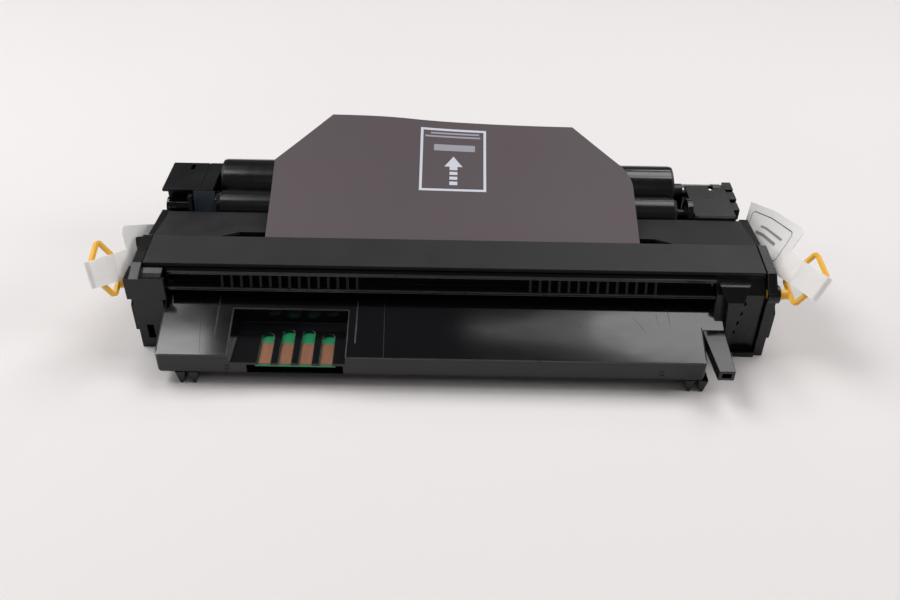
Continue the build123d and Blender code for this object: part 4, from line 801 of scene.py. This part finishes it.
def makeEjectorMarks():
    # where the mould's pins pushed: a shallow rim round a sunk ring and a small core
    m = ejectorMarks
    parts = []
    for x, z in m["places"]:
        clearSelection()
        place = mm(x, blockLines["frontY"], z)
        bpy.ops.mesh.primitive_cylinder_add(
            vertices=m["sides"], radius=m["radius"] / 1000, depth=m["thick"] / 1000, location=place,
            rotation=(math.pi / 2, 0, 0),
        )
        obj = bpy.context.object
        applyAll(obj)
        selectPoints(obj, lambda p: p.y < blockLines["frontY"] - near)
        bpy.ops.mesh.select_mode(type="FACE")
        bpy.ops.mesh.inset(thickness=m["rim"] / 1000)
        bpy.ops.mesh.extrude_region_move(TRANSFORM_OT_translate={"value": mm(0, m["dish"], 0)})
        bpy.ops.mesh.inset(thickness=m["ring"] / 1000)
        bpy.ops.mesh.extrude_region_move(TRANSFORM_OT_translate={"value": mm(0, -m["coreRise"], 0)})
        bpy.ops.object.mode_set(mode="OBJECT")
        bpy.ops.object.shade_smooth_by_angle(angle=math.radians(35))
        parts.append(obj)
    finishPiece(joined("ejector_marks", parts), glossBlack, "housing", "black_gloss")


print("making fine lines and marks")
makeBlockLines()
makeChannelLines()
makeEjectorMarks()


# ---- camera, stage and light

camera = {
    "lens": 38.2, "sensor": 36, "clip": (0.01, 50), "place": (-2.0, -426.5, 331.5), "down": 37.4, "roll": 1.0,
}


def makeCamera():
    data = bpy.data.cameras.new("camera")
    data.lens = camera["lens"]
    data.sensor_width = camera["sensor"]
    data.clip_start, data.clip_end = camera["clip"]
    obj = bpy.data.objects.new("camera", data)
    scene.collection.objects.link(obj)
    tilt = Matrix.Rotation(math.radians(90 - camera["down"]), 4, "X")
    turn = tilt @ Matrix.Rotation(math.radians(camera["roll"]), 4, "Z")
    obj.matrix_world = Matrix.Translation(mm(*camera["place"])) @ turn
    scene.camera = obj


stage = {
    "floor": ("#e1dddc", "#e4e0df"), "radius": 2.6, "sides": 96, "rise": 0.7, "flare": 1.25,
    "bend": 0.8, "bends": 12,
}


def makeStage():
    # seamless white bowl: round floor whose rim curves up
    clearSelection()
    bpy.ops.mesh.primitive_circle_add(vertices=stage["sides"], radius=stage["radius"], fill_type="NGON")
    obj = bpy.context.object
    obj.name = "bowl"
    selectPoints(obj, lambda p: True)
    bpy.ops.mesh.select_mode(type="EDGE")
    bpy.ops.mesh.extrude_edges_move(TRANSFORM_OT_translate={"value": (0, 0, stage["rise"])})
    bpy.ops.transform.resize(value=(stage["flare"], stage["flare"], 1), center_override=(0, 0, 0))
    bpy.ops.object.mode_set(mode="OBJECT")
    bend = obj.modifiers.new("bend", "BEVEL")
    bend.width = stage["bend"]
    bend.segments = stage["bends"]
    bend.limit_method = "ANGLE"
    applyAll(obj)
    bpy.ops.object.shade_smooth()
    material, tree, shader, place = startMaterial("whiteSweepPaper", IOR=1.45)
    cloud = noise(tree, place, scale=3, detail=2)
    tree.links.new(blended(tree, cloud, *stage["floor"]), shader.inputs["Base Color"])
    tree.links.new(ranged(tree, cloud, 0.6, 0.7), shader.inputs["Roughness"])
    obj.data.materials.append(material)


studio = {
    # name: place and aim in metres, size, power in watts, shape
    "leftBack": ((-1.02, 0.62, 1.45), (0.0, 0.0, 0.0), (0.9, 0.7), 10.0, "RECTANGLE"),
    "rightBack": ((0.62, 0.78, 1.50), (0.0, 0.0, 0.0), (1.1, 0.7), 8.6, "RECTANGLE"),
    "backStrip": ((0.80, 1.50, 1.20), (0.13, -0.03, 0.05), (0.7, 0.16), 1.9, "RECTANGLE"),
    "rightSide": ((1.55, -0.25, 0.85), (0.1, -0.05, 0.0), (0.8, 0.7), 10.0, "RECTANGLE"),
    "leftSide": ((-1.6, 0.1, 0.8), (-0.1, 0.0, 0.0), (0.6, 0.6), 6.5, "RECTANGLE"),
    "leftOverhead": ((-0.76, 0.03, 1.3), (-0.6, 0.0, 0.0), (0.60, 0.40), 6.0, "RECTANGLE"),
    "rightWide": ((0.70, 0.243, 1.3), (0.70, 0.243, 0.0), (0.88, 0.20), 2.3, "ELLIPSE"),
    "rightMiddle": ((0.60, 0.238, 1.3), (0.60, 0.238, 0.0), (0.94, 0.11), 0.62, "ELLIPSE"),
    "rightPoint": ((0.50, 0.232, 1.3), (0.50, 0.232, 0.0), (0.96, 0.055), 0.30, "ELLIPSE"),
    "frontFill": ((0.0, -1.1, 1.45), (0.0, 0.0, 0.0), (0.7, 0.35), 0.7, "RECTANGLE"),
}
roomLight = {"colour": "#f4f2f1", "strength": 0.12}


def makeLights():
    for name, (place, aim, size, power, shape) in studio.items():
        data = bpy.data.lights.new(name, "AREA")
        data.shape = shape
        data.size, data.size_y = size
        data.energy = power
        obj = bpy.data.objects.new(name, data)
        scene.collection.objects.link(obj)
        back = (Vector(place) - Vector(aim)).normalized()
        side = Vector((1, 0, 0)) - back * back.x  # the long side stays level with the object's
        side.normalize()
        facing = Matrix((side, back.cross(side), back)).transposed().to_4x4()
        obj.matrix_world = Matrix.Translation(place) @ facing
    world = bpy.data.worlds.new("studio")
    scene.world = world
    world.use_nodes = True
    back = world.node_tree.nodes["Background"]
    back.inputs["Color"].default_value = linear(roomLight["colour"])
    back.inputs["Strength"].default_value = roomLight["strength"]


print("making camera, stage and light")
makeCamera()
makeStage()
makeLights()
